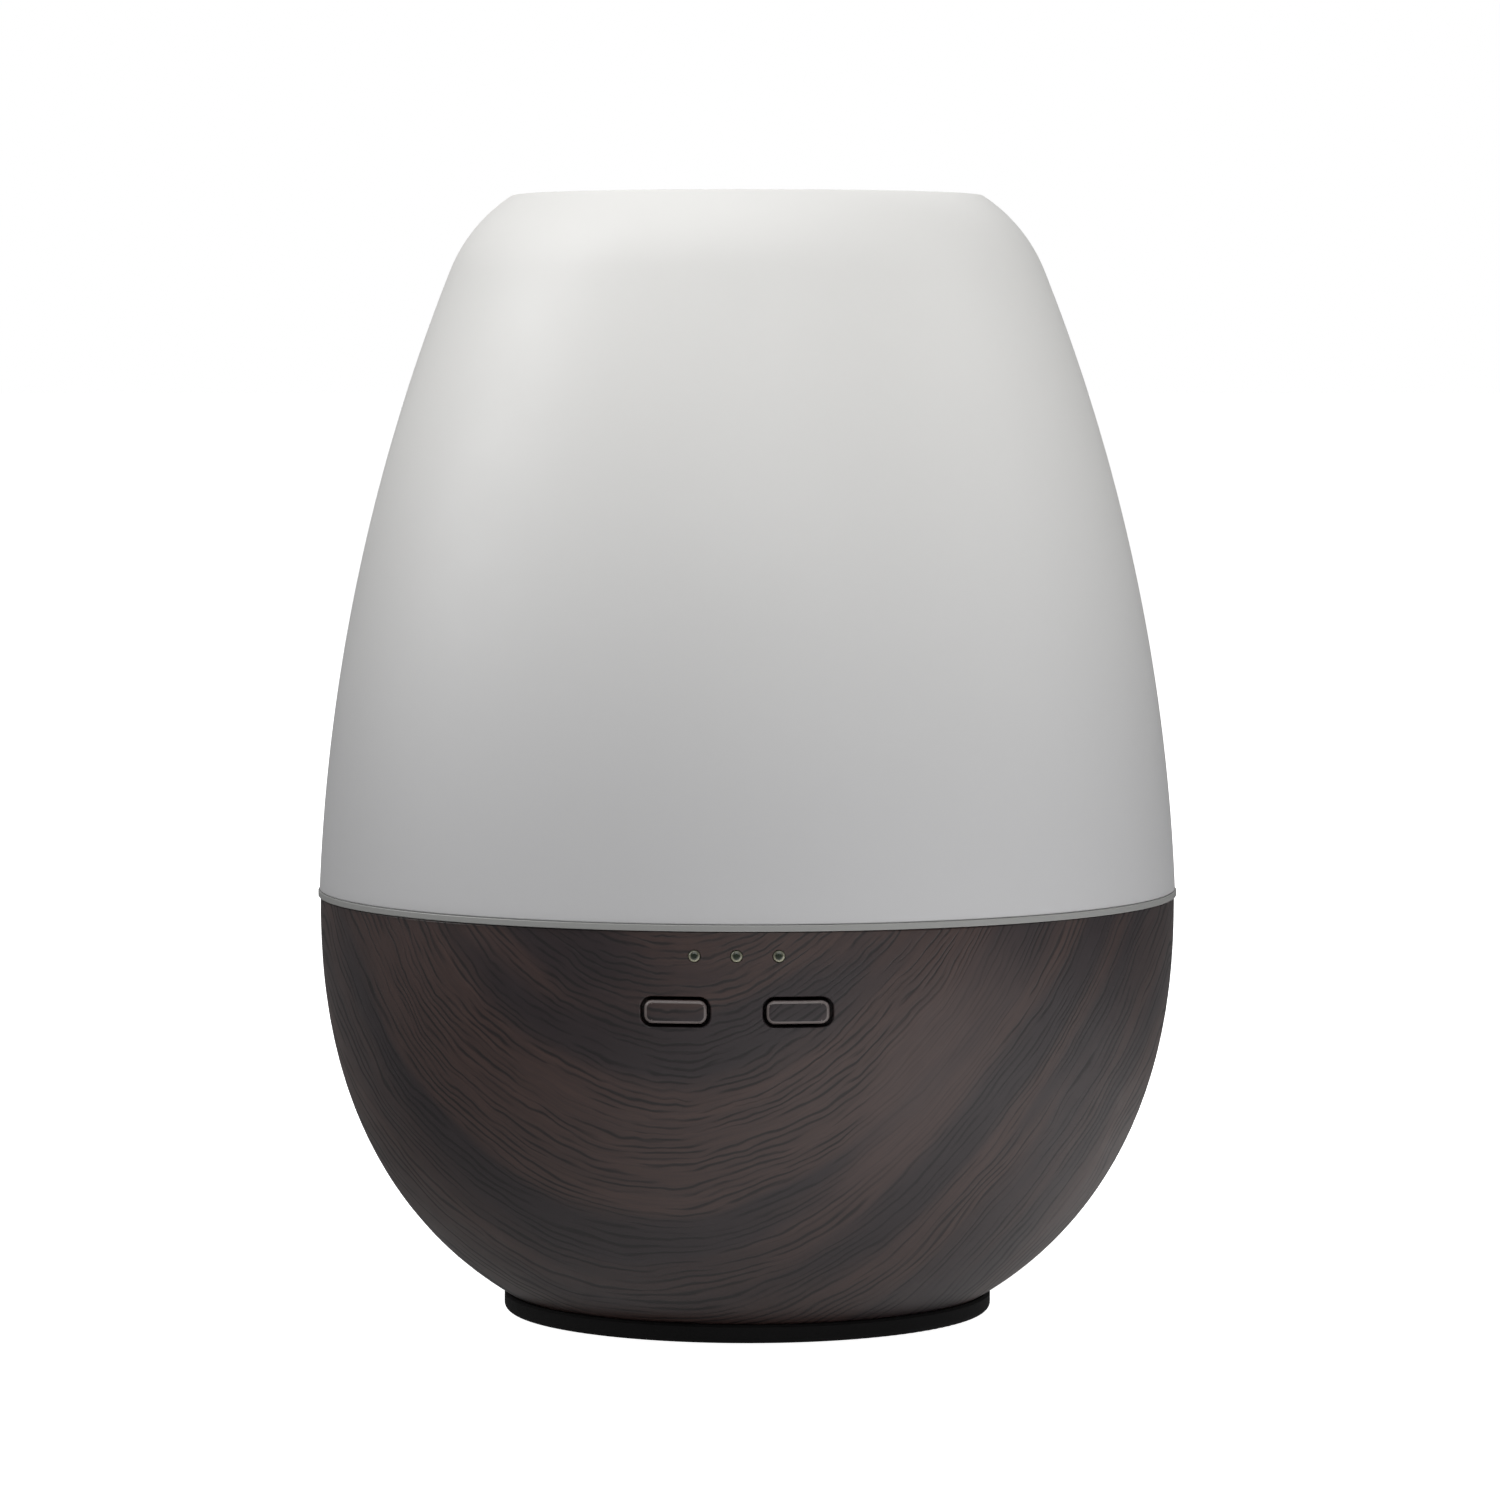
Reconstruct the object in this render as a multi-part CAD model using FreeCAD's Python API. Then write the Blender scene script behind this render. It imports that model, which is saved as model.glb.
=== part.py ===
import FreeCAD
import Part
import math
import os

# Ultrasonic cool mist humidifier: a bowl-shaped base, a water tank whose flange shows as a thin band, and a
# lift-off dome. Millimetres, +Z up, origin at the centre of the underside. The buttons face -Y.
# "base", "cover", "fan rotor" and the two buttons are the bodies that move against each other.

# ---- Outside shape -------------------------------------------------------------------------------------
TOTAL_HEIGHT = 200.8
BODY_RADIUS = 77.0          # edge of the tank's flange, the widest ring
SPLIT_Z = 75.8              # top edge of the bowl
FLANGE_THICK = 1.1          # the light band
BOWL_STEP = 0.4             # the bowl stands this far inside the band
DOME_STEP = 0.22            # and the dome this far
EDGE_ROUND = 0.35           # broken edges along the band

# ---- Bowl ----------------------------------------------------------------------------------------------
FOOT_HEIGHT = 4.2           # floor to the bowl's underside
BOWL_FOOT_RADIUS = 42.8     # the bowl where it meets the foot
BOWL_FULLNESS = 2.32        # exponent of the bowl's outline: 2 would be an ellipse
SHELL_WALL = 2.2
SHELL_LEDGE = 2.0           # inward ledge at the bottom
LEDGE_WIDTH = 3.8           # how far it reaches in from the outer edge

# ---- Dome ----------------------------------------------------------------------------------------------
DOME_WALL = 2.2
BULGE_DROP = 12.8           # the dome's side would be widest this far below the split
SHOULDER_RADIUS = 53.1      # where the side turns into the shoulder
SHOULDER_DROP = 13.5        # that point's depth below the rim
RIM_RADIUS = 41.9
RIM_WIDTH = 3.4
RIM_ROUND = 1.5
DISH_DEPTH = 3.2
DISH_FLOOR_RADIUS = 16.0

# ---- Chimney -------------------------------------------------------------------------------------------
OUTLET_RADIUS = 11.0
CHIMNEY_WALL = 1.3
CHIMNEY_MOUTH_RADIUS = 20.0
CHIMNEY_CLEARANCE = 4.0     # above the air duct
COLLAR_PROUD = 0.8
COLLAR_FLANGE = 3.2         # width of the flange under the dome's top
COLLAR_FLANGE_THICK = 1.5

# ---- Foot ----------------------------------------------------------------------------------------------
FOOT_RADIUS = 43.8
FOOT_ROUND = 1.2
FOOT_NOTCH = 0.4
FOOT_RIM_WIDTH = 6.3
SCREW_BOSS_WALL = 1.0       # bosses under the long posts, beyond the posts
SCREW_BOSS_HEIGHT = 2.8
PAD_RADIUS = 5.0
PAD_THICK = 2.0
PAD_PROUD = 0.9
PAD_PITCH_RADIUS = 32.0
PAD_CUP_WALL = 1.5
PLATE_THICK = 2.0
SPIGOT_WALL = 2.0
AIR_NOTCH_WIDTH = 10.0
AIR_NOTCH_ANGLES = (67.5, 90.0, 112.5)
GRILLE_START = 3.0          # inner radius of the first ring of slots
GRILLE_SLOT = 1.8
GRILLE_BAR = 1.6            # between two rings, and the ribs across them
GRILLE_RINGS = 4

# ---- Tank ----------------------------------------------------------------------------------------------
TANK_WALL = 1.9
TANK_GAP = 13.2             # from the bowl's edge in to the basin's outer wall
TANK_TAPER = 2.0
TANK_FLOOR_Z = 33.0
TANK_FILLET = 20.0
LIP_HEIGHT = 4.0            # centres the dome
LIP_WALL = 1.9
LIP_CLEARANCE = 0.68
SKIRT_HEIGHT = 2.5          # centres the tank in the bowl
SKIRT_WALL = 1.5
SKIRT_CLEARANCE = 0.2
FILL_LINE_DROP = 9.8        # below the split
FILL_LINE_PROUD = 0.6
FILL_LINE_ANGLE = 24.0
FILL_LINE_HEIGHT = 1.0

# ---- Mist plate and its seat in the tank ---------------------------------------------------------------
DISC_RADIUS = 10.0
DISC_THICK = 1.2
SEAL_RIM = 1.0              # the seal beyond the disc's edge
SEAL_BITE = 2.0             # and over its face
SEAL_THICK = 2.4
SEAL_COLLAR = 2.0           # wall round the seal
WELL_MARGIN = 3.0           # the well's floor beyond the disc
WELL_DEPTH = 2.5
CLAMP_THICK = 1.6
CLAMP_HOLE_MARGIN = 0.5
EAR_RADIUS = 3.5
EAR_REACH = 7.0             # ears' centres beyond the seal's edge
EAR_ANGLES = (30.0, 150.0, 270.0)
PROBE_X = 24.0
PROBE_RADIUS = 1.5
PROBE_HEAD_THICK = 1.2
PROBE_TIP = 2.5             # above the tank's floor
PROBE_NUT_THICK = 1.6
PROBE_TAIL = 3.0            # below the tank's underside

# ---- Air duct in the tank ------------------------------------------------------------------------------
DUCT_Y = -31.0
DUCT_LENGTH = 26.0
DUCT_WIDTH = 13.0
DUCT_WALL = 1.6
DUCT_TOP_ABOVE_FLANGE = 7.1
DUCT_FLANGE = 2.0
DUCT_TAIL = 1.5             # below the tank's underside

# ---- Fasteners and fits --------------------------------------------------------------------------------
FOOT_POST_X = 31.0
FOOT_POST_Y = 14.0
FOOT_POST_RADIUS = 3.5
FOOT_SCREW_RADIUS = 1.5
SMALL_SCREW_RADIUS = 1.1
FOOT_SCREW_LENGTH = 11.0
BOARD_SCREW_LENGTH = 8.0
SMALL_SCREW_LENGTH = 6.0
KEY_SCREW_LENGTH = 5.0
FAN_SCREW_BEYOND = 2.0      # longer than the fan's height
FOOT_THREAD_DEPTH = 9.5
KEY_THREAD_DEPTH = 4.2
BOARD_THREAD_DEPTH = 7.5
SMALL_THREAD_DEPTH = 5.0
SLIP = 0.2                  # radial room of a part located in another
SCREW_SLIP = 0.03           # a screw in its thread
PRESS_SLIP = 0.05           # a pressed or glued part in its hole

# ---- Buttons and key board -----------------------------------------------------------------------------
KEY_X = 10.3
KEY_DROP = 13.65            # the buttons' middle below the split
WINDOW_WIDTH = 11.8
WINDOW_HEIGHT = 5.2
WINDOW_CORNER = 2.0
WINDOW_ROUND = 0.25         # the windows' outer edges
KEY_GAP = 0.6               # between cap and window all round
KEY_PROUD = 0.3
KEY_BEVEL = 0.4
KEY_FLANGE_THICK = 1.0
KEY_FLANGE_OVERLAP = 0.6
KEY_FLANGE_GAP = 0.3        # between the flange's corners and the bowl's inner wall
KEY_TRAVEL = 0.4
KEY_NIB_RADIUS = 1.2
PLUNGER_RADIUS = 1.7
PLUNGER_PROUD = 0.6
PLUNGER_INSIDE = 0.8
PLUNGER_SLIP = 0.05
SWITCH_SIZE = 6.0
SWITCH_HEIGHT = 2.5
SWITCH_CORNER = 0.5
BOARD_THICK = 1.6
KEY_BOARD_MARGIN = 3.5      # beyond its screws
KEY_BOARD_HEIGHT = 16.5
KEY_BOARD_DROP = 3.0        # its top edge below the split
KEY_BOARD_DEPTH = 7.5       # its front face behind the bowl's mouth
KEY_POST_GAP = 0.8          # between a post and a button's flange
KEY_POST_RADIUS = 2.6
KEY_PLUG_DEPTH = 3.0
KEY_PLUG_HEIGHT = 5.2

# ---- Indicators ----------------------------------------------------------------------------------------
LENS_RADIUS = 1.05
LENS_PITCH = 7.1
LENS_DROP = 4.15            # below the split
LENS_PROUD = 0.25
LENS_BAR_HEIGHT = 2.5
LENS_BAR_THICK = 1.3
LENS_BAR_END = 0.4          # beyond the outer rods
LENS_BAR_INSET = 0.35       # its front corners behind the bowl's mouth
LENS_BAR_BELOW = 0.2        # under the rods
LENS_GAP = 0.3              # to the lamp behind
INDICATOR_WIDTH = 1.6
INDICATOR_HEIGHT = 1.2
INDICATOR_THICK = 0.7

# ---- Light ring ----------------------------------------------------------------------------------------
LIGHT_RING_INSET = 2.4      # from the bowl's inner wall
LIGHT_RING_WIDTH = 6.5
LIGHT_RING_DROP = 6.2       # below the flange
LIGHT_RING_GAP = 24.0       # half angle left open for the key board
LIGHT_POST_RADIUS = 2.5
LIGHT_POST_ANGLES = (-50.0, 90.0, 230.0)
LIGHT_LED_ANGLES = (-30.0, 15.0, 60.0, 120.0, 165.0, 210.0)
LIGHT_LED_DEPTH = 2.8       # along the radius
LIGHT_LED_WIDTH = 3.5
LIGHT_LED_THICK = 1.6

# ---- Fan -----------------------------------------------------------------------------------------------
FAN_SIZE = 35.0
FAN_HEIGHT = 10.0
FAN_HOLE_INSET = 3.0        # from the frame's edges
FAN_WALL = 1.2              # frame at its thinnest
FAN_CORNER = 3.0
FAN_SEAT = 1.0
FAN_BOSS_WALL = 1.9
FAN_BOSS_FLOOR = 0.7        # left under the screws
MOTOR_BASE_THICK = 1.5
SPOKE_COUNT = 3
SPOKE_WIDTH = 2.6
BEARING_BOSS_WALL = 1.0
FAN_SCREW_RADIUS = 1.3
HUB_RADIUS = 9.4
HUB_WALL = 0.8
HUB_FLOOR = 1.0
HUB_RISE = 0.6              # above the frame's underside
HUB_CLEARANCE = 0.8         # under the motor base
HUB_BOSS_WALL = 1.4
HUB_BOSS_HEIGHT = 2.0
BLADE_COUNT = 7
BLADE_TIP_GAP = 0.5
BLADE_THICK = 1.0
BLADE_PITCH_ANGLE = 45.0
BLADE_INSET_LOW = 0.4       # the blades' edges from the hub's ends
BLADE_INSET_HIGH = 0.3
SHAFT_RADIUS = 1.0
SHAFT_RUNNING_FIT = 0.03
SHAFT_SOCKET = 0.5          # floor left under the shaft
SHAFT_CLEARANCE = 0.3
BEARING_RADIUS = 1.9
BEARING_RISE = 2.5          # above the hub's underside
MAGNET_THICK = 1.05
MAGNET_END_GAP = 0.4
STATOR_LOW_GAP = 0.3
STATOR_CORE_RADIUS = 4.0
STATOR_AIR_GAP = 0.9
SHOE_THICK = 0.9
SHOE_INSET = 0.5            # shoes and arms from the core's ends
POLE_WIDTH = 4.8
POLE_ARM_WIDTH = 2.0

# ---- Main board ----------------------------------------------------------------------------------------
BOARD_Z = 9.4
BOARD_EDGE_GAP = 2.5
BOARD_FAN_GAP = 2.5
BOARD_POSTS = ((22.0, 32.0), (-22.0, 32.0), (0.0, 28.0))
BOARD_POST_RADIUS = 3.0
BOARD_POST_ROOM = 0.8       # round the long posts that pass the board
JACK_WIDTH = 9.0
JACK_LENGTH = 14.2
JACK_HEIGHT = 11.0
JACK_AXIS_UP = 6.5
JACK_BORE_RADIUS = 3.15
JACK_BORE_DEPTH = 9.5
JACK_PIN_RADIUS = 1.0
JACK_PIN_DEPTH = 0.8        # its tip behind the jack's face
JACK_FACE_INSET = 1.2       # the face's corners from the bowl's inner wall
JACK_FACE_GAP = 0.1         # between the face and the pocket
POCKET_RADIUS = 6.0
POCKET_WALL = 1.7
POCKET_FLOOR = 1.2
PLUG_HOLE_RADIUS = 3.6
PLUG_WIDTH = 5.2            # sockets of the leads on the board
PLUG_DEPTH = 4.0
PLUG_HEIGHT = 6.0
COIL_X = 13.0
COIL_Y = 24.0
COIL_RADIUS = 5.0
COIL_WAIST_RADIUS = 4.3
COIL_FLANGE = 1.2
COIL_HEIGHT = 9.0
CAN_X = 12.0
CAN_Y = 35.0
CAN_RADIUS = 4.0
CAN_HEIGHT = 12.0
CAN_ROUND = 0.5
SINK_Y = 16.5               # front face of the sink's plate
SINK_WIDTH = 12.0
SINK_HEIGHT = 12.0
SINK_PLATE = 1.5
SINK_FIN_DEPTH = 5.0
SINK_FIN_THICK = 1.0
SINK_FINS = 5
TRANSISTOR_WIDTH = 10.0
TRANSISTOR_RISE = 1.0       # above the board
TRANSISTOR_HEIGHT = 11.0
TRANSISTOR_TAB = 1.3
TRANSISTOR_BODY_HEIGHT = 7.0
TRANSISTOR_BODY_DEPTH = 3.1
LEG_PITCH = 2.5
LEG_WIDTH = 0.8
LEG_THICK = 0.6
CHIP_X = 24.0
CHIP_Y = 22.5
CHIP_LENGTH = 8.0
CHIP_WIDTH = 5.0
CHIP_THICK = 1.6

# ---- Sizes that follow from the ones above -------------------------------------------------------------
BOWL_RADIUS = BODY_RADIUS - BOWL_STEP
DOME_RADIUS = BODY_RADIUS - DOME_STEP
FOOT_SHARE = (1 - (BOWL_FOOT_RADIUS / BOWL_RADIUS) ** BOWL_FULLNESS) ** (1 / BOWL_FULLNESS)
BOWL_DEPTH = (SPLIT_Z - FOOT_HEIGHT) / FOOT_SHARE
FLANGE_TOP = SPLIT_Z + FLANGE_THICK
MOUTH_RADIUS = BOWL_RADIUS - SHELL_WALL
OPENING_RADIUS = BOWL_FOOT_RADIUS - LEDGE_WIDTH
PLATE_TOP = FOOT_HEIGHT
PLATE_LOW = PLATE_TOP - PLATE_THICK
POST_LOW = PLATE_TOP + SCREW_BOSS_HEIGHT
TANK_RADIUS = BOWL_RADIUS - TANK_GAP
TANK_UNDERSIDE = TANK_FLOOR_Z - TANK_WALL
WELL_RADIUS = DISC_RADIUS + WELL_MARGIN
WELL_HOLE_RADIUS = DISC_RADIUS - SEAL_BITE
SEAL_RADIUS = DISC_RADIUS + SEAL_RIM
EAR_PITCH_RADIUS = SEAL_RADIUS + EAR_REACH
CLAMP_RADIUS = EAR_PITCH_RADIUS - EAR_RADIUS + 1
WELL_FLOOR = TANK_FLOOR_Z - WELL_DEPTH
WELL_UNDERSIDE = WELL_FLOOR - TANK_WALL
CLAMP_TOP = WELL_UNDERSIDE - SEAL_THICK
DUCT_TOP = FLANGE_TOP + DUCT_TOP_ABOVE_FLANGE
SPIGOT_RADIUS = OPENING_RADIUS - SLIP
FAN_REACH = SPIGOT_RADIUS - SPIGOT_WALL - SLIP      # the frame's front corners lie on this circle
FAN_Y = FAN_SIZE / 2 - math.sqrt(FAN_REACH ** 2 - (FAN_SIZE / 2) ** 2)
FAN_BORE_RADIUS = FAN_SIZE / 2 - FAN_WALL
FAN_LOW = PLATE_TOP + FAN_SEAT
FAN_TOP = FAN_LOW + FAN_HEIGHT
BOARD_TOP = BOARD_Z + BOARD_THICK
LIGHT_TOP = SPLIT_Z - LIGHT_RING_DROP
LIGHT_LOW = LIGHT_TOP - BOARD_THICK
LIGHT_OUTER = MOUTH_RADIUS - LIGHT_RING_INSET
LIGHT_INNER = LIGHT_OUTER - LIGHT_RING_WIDTH
LIGHT_PITCH_RADIUS = (LIGHT_OUTER + LIGHT_INNER) / 2
FILL_LINE_Z = SPLIT_Z - FILL_LINE_DROP
LENS_Z = SPLIT_Z - LENS_DROP
KEY_Z = SPLIT_Z - KEY_DROP
KEY_POST_X = KEY_X + WINDOW_WIDTH / 2 + KEY_FLANGE_OVERLAP + KEY_POST_GAP + KEY_POST_RADIUS
KEY_BOARD_WIDTH = 2 * (KEY_POST_X + KEY_BOARD_MARGIN)
KEY_FACE_Y = -(MOUTH_RADIUS - KEY_BOARD_DEPTH)    # front face of the key board
KEY_BACK_Y = KEY_FACE_Y + BOARD_THICK
PLUNGER_TIP_Y = KEY_FACE_Y - SWITCH_HEIGHT - PLUNGER_PROUD
KEY_BOARD_TOP = SPLIT_Z - KEY_BOARD_DROP
DISH_Z = TOTAL_HEIGHT - DISH_DEPTH
SMALL = 0.01

UP = FreeCAD.Vector(0, 0, 1)
ALONG_X = FreeCAD.Vector(1, 0, 0)
ALONG_Y = FreeCAD.Vector(0, 1, 0)


# ---- Helpers -------------------------------------------------------------------------------------------
def vec(x, y, z):
    return FreeCAD.Vector(x, y, z)


def on_circle(radius, degrees):
    """X and Y of a point on a circle about the Z axis."""
    return radius * math.cos(math.radians(degrees)), radius * math.sin(math.radians(degrees))


def cylinder(radius, z_low, z_high, x=0.0, y=0.0):
    return Part.makeCylinder(radius, z_high - z_low, vec(x, y, z_low), UP)


def tube(inner, outer, z_low, z_high, x=0.0, y=0.0):
    return cylinder(outer, z_low, z_high, x, y).cut(cylinder(inner, z_low - 1, z_high + 1, x, y))


def rod_along_y(radius, y_low, y_high, x, z):
    return Part.makeCylinder(radius, y_high - y_low, vec(x, y_low, z), ALONG_Y)


def block(x_low, x_high, y_low, y_high, z_low, z_high):
    return Part.makeBox(x_high - x_low, y_high - y_low, z_high - z_low, vec(x_low, y_low, z_low))


def spin(edges):
    """Solid of revolution about Z of a closed outline in the XZ plane."""
    face = Part.Face(Part.Wire(Part.__sortEdges__(edges)))
    return Part.makeSolid(face.revolve(vec(0, 0, 0), UP, 360))


def spin_polygon(corners):
    """The same for an outline of straight lines, given as (radius, height) corners."""
    points = [vec(r, 0, z) for r, z in corners]
    closed = Part.makePolygon(points + points[:1])
    return spin(closed.Edges)


def join(*shapes):
    return shapes[0].multiFuse(list(shapes[1:])).removeSplitter()


def ring_edges(shape, radius, z):
    """A turned shape's circular edges of one radius at one height."""
    found = []
    for edge in shape.Edges:
        curve = edge.Curve
        if not isinstance(curve, Part.Circle):
            continue
        if abs(curve.Radius - radius) < SMALL and abs(curve.Center.z - z) < SMALL:
            found.append(edge)
    return found


def edges_along(shape, direction):
    """Straight edges that lie along one direction."""
    found = []
    for edge in shape.Edges:
        if isinstance(edge.Curve, Part.Line) and abs(abs(edge.Curve.Direction.dot(direction)) - 1) < SMALL:
            found.append(edge)
    return found


def rounded_bar(width, height, corner, y_low, y_high, x, z):
    """Bar along Y with a rounded rectangle as its section."""
    bar = block(x - width / 2, x + width / 2, y_low, y_high, z - height / 2, z + height / 2)
    return bar.makeFillet(corner, edges_along(bar, ALONG_Y))


def stadium(length, width, z_low, z_high, y):
    """Upright bar with round ends, its length along X."""
    straight = (length - width) / 2
    middle = block(-straight, straight, y - width / 2, y + width / 2, z_low, z_high)
    ends = [cylinder(width / 2, z_low, z_high, side * straight, y) for side in (-1, 1)]
    return join(middle, *ends)


def screw(radius, length):
    """Pan-head screw: shank along +Z from the origin, head below it with a cross recess."""
    head_radius = 1.85 * radius
    head_height = 1.2 * radius
    head = Part.makeCone(0.75 * head_radius, head_radius, 0.45 * head_height, vec(0, 0, -head_height))
    head = head.fuse(cylinder(head_radius, -0.55 * head_height, 0))
    shank = cylinder(radius, 0, length - radius).fuse(
        Part.makeCone(radius, 0.45 * radius, radius, vec(0, 0, length - radius)))
    body = join(head, shank)
    arm = 0.62 * head_radius
    slot = 0.16 * head_radius
    deep = -head_height + 0.5 * head_height
    for size_x, size_y in ((arm, slot), (slot, arm)):
        body = body.cut(block(-size_x, size_x, -size_y, size_y, -head_height - 1, deep))
    return body


def placed(shape, position, axis=ALONG_X, degrees=0.0):
    """A turned and moved copy: 0 points the screw up, 180 about X down, 90 about X towards -Y."""
    copy = shape.copy()
    copy.Placement = FreeCAD.Placement(position, FreeCAD.Rotation(axis, degrees))
    return copy


def bowl_radius(z, inset=0.0):
    """The bowl's radius at a height, with an inset measured square to its wall."""
    share = (SPLIT_Z - z) / (BOWL_DEPTH - inset)
    return (BOWL_RADIUS - inset) * (1 - share ** BOWL_FULLNESS) ** (1 / BOWL_FULLNESS)


def bowl_solid(inset, z_low):
    """All that lies inside the bowl's outline, above z_low."""
    steps = 14
    heights = [z_low + (SPLIT_Z - z_low) * i / steps for i in range(steps + 1)]
    side = Part.BSplineCurve()
    side.interpolate([vec(bowl_radius(z, inset), 0, z) for z in heights])
    corners = [side.EndPoint, vec(0, 0, SPLIT_Z), vec(0, 0, z_low), side.StartPoint]
    lines = [Part.makeLine(a, b) for a, b in zip(corners, corners[1:])]
    return spin([side.toShape()] + lines)


def inner_wall_y(x, z):
    """How far the bowl's inner wall lies from the XZ plane at one x and z."""
    return math.sqrt(bowl_radius(z, SHELL_WALL) ** 2 - x ** 2)


def export(name, *solids):
    """Write one node: a single solid, or a group of separate ones."""
    found = [solid for shape in solids for solid in shape.Solids]
    shape = found[0] if len(found) == 1 else Part.makeCompound(found)
    shape.exportStep(f"parts/{name}.step")
    volume = sum(solid.Volume for solid in found)
    valid = all(solid.isValid() for solid in found)
    print(f"{name}: {len(found)} solid(s), {volume:.0f} mm3, valid {valid}")


# ---- Base: shell, bottom cover, feet -------------------------------------------------------------------
JACK_FACE_Y = inner_wall_y(JACK_WIDTH / 2, BOARD_TOP) - JACK_FACE_INSET
JACK_Z = BOARD_TOP + JACK_AXIS_UP
POCKET_Y = JACK_FACE_Y + JACK_FACE_GAP + POCKET_FLOOR
FOOT_POSTS = [(sx * FOOT_POST_X, sy * FOOT_POST_Y) for sx in (-1, 1) for sy in (-1, 1)]
PADS = [on_circle(PAD_PITCH_RADIUS, 45 + 90 * i) for i in range(4)]


def base_shell():
    """Bowl with an inward ledge, two button windows, three lens holes, key board posts and a plug pocket."""
    outer = bowl_solid(0, FOOT_HEIGHT)
    outer = outer.makeFillet(EDGE_ROUND, ring_edges(outer, BOWL_RADIUS, SPLIT_Z))
    shell = outer.cut(bowl_solid(SHELL_WALL, FOOT_HEIGHT + SHELL_LEDGE))
    shell = shell.cut(cylinder(OPENING_RADIUS, 0, FOOT_HEIGHT + SHELL_LEDGE + 1))
    middle_of_wall = bowl_solid(SHELL_WALL / 2, FOOT_HEIGHT)
    for side in (-1, 1):
        post = rod_along_y(KEY_POST_RADIUS, -BOWL_RADIUS, KEY_FACE_Y, side * KEY_POST_X, KEY_Z)
        shell = shell.fuse(post.common(middle_of_wall))
    pocket_y = POCKET_Y - POCKET_FLOOR
    cup = rod_along_y(POCKET_RADIUS + POCKET_WALL, pocket_y, BOWL_RADIUS, 0, JACK_Z)
    shell = shell.fuse(cup.common(outer))
    shell = shell.cut(rod_along_y(POCKET_RADIUS, POCKET_Y, BOWL_RADIUS, 0, JACK_Z))
    shell = shell.cut(rod_along_y(PLUG_HOLE_RADIUS, pocket_y - 1, BOWL_RADIUS, 0, JACK_Z))
    for side in (-1, 1):
        shell = shell.cut(rounded_bar(WINDOW_WIDTH, WINDOW_HEIGHT, WINDOW_CORNER,
                                      -BOWL_RADIUS - 1, PLUNGER_TIP_Y, side * KEY_X, KEY_Z))
        shell = shell.cut(rod_along_y(SMALL_SCREW_RADIUS + SCREW_SLIP, KEY_FACE_Y - KEY_THREAD_DEPTH,
                                      KEY_FACE_Y + 1, side * KEY_POST_X, KEY_Z))
    for i in (-1, 0, 1):
        shell = shell.cut(rod_along_y(LENS_RADIUS + PRESS_SLIP, -BOWL_RADIUS - 1, -BOWL_RADIUS / 2,
                                      i * LENS_PITCH, LENS_Z))
    shell = shell.removeSplitter()
    return shell.makeFillet(WINDOW_ROUND, window_edges(shell))


def window_edges(shell):
    """The button windows' edges on the bowl's outer face."""
    found = []
    for edge in shell.Edges:
        middle = edge.CenterOfMass
        across = abs(abs(middle.x) - KEY_X) < WINDOW_WIDTH / 2 + SMALL
        upright = abs(middle.z - KEY_Z) < WINDOW_HEIGHT / 2 + SMALL
        corners = [v.Point for v in edge.Vertexes]
        outside = all(abs(math.hypot(p.x, p.y) - bowl_radius(p.z)) < SMALL for p in corners)
        if across and upright and outside:
            found.append(edge)
    return found


def bottom_cover():
    """Plate with the foot rim, a spigot, screw bosses, pad cups, a fan seat and an air grille."""
    rim = cylinder(FOOT_RADIUS, PAD_PROUD, PLATE_TOP)
    rim = rim.makeFillet(FOOT_ROUND, ring_edges(rim, FOOT_RADIUS, PAD_PROUD))
    rim = rim.makeChamfer(FOOT_NOTCH, ring_edges(rim, FOOT_RADIUS, PLATE_TOP))
    cover = rim.cut(cylinder(FOOT_RADIUS - FOOT_RIM_WIDTH, 0, PLATE_LOW))
    parts = [cover, tube(SPIGOT_RADIUS - SPIGOT_WALL, SPIGOT_RADIUS, PLATE_TOP, FOOT_HEIGHT + SHELL_LEDGE)]
    for x, y in FOOT_POSTS:
        parts.append(cylinder(FOOT_POST_RADIUS + SCREW_BOSS_WALL, PLATE_LOW, POST_LOW, x, y))
    for x, y in PADS:
        parts.append(cylinder(PAD_RADIUS + PAD_CUP_WALL, PAD_PROUD, PLATE_LOW, x, y))
    for x, y in FAN_HOLES:
        parts.append(cylinder(FAN_SCREW_RADIUS + FAN_BOSS_WALL, PLATE_LOW, FAN_LOW, x, y))
    cover = join(*parts)
    for x, y in FOOT_POSTS:
        cover = cover.cut(cylinder(FOOT_SCREW_RADIUS + SLIP, 0, POST_LOW + 1, x, y))
        cover = cover.cut(cylinder(2 * FOOT_SCREW_RADIUS + SLIP, 0, PLATE_TOP, x, y))
    for x, y in PADS:
        cover = cover.cut(cylinder(PAD_RADIUS + PRESS_SLIP, 0, PAD_THICK, x, y))
    for x, y in FAN_HOLES:
        thread = cylinder(FAN_SCREW_RADIUS + SCREW_SLIP, PLATE_LOW + FAN_BOSS_FLOOR, FAN_LOW + 1, x, y)
        cover = cover.cut(thread)
    for angle in AIR_NOTCH_ANGLES:
        notch = block(0, FOOT_RADIUS + 1, -AIR_NOTCH_WIDTH / 2, AIR_NOTCH_WIDTH / 2, 0, PLATE_LOW)
        notch = notch.cut(cylinder(PAD_PITCH_RADIUS, -1, PLATE_TOP))
        notch.rotate(vec(0, 0, 0), UP, angle)
        cover = cover.cut(notch)
    return cover.cut(air_grille()).removeSplitter()


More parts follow.
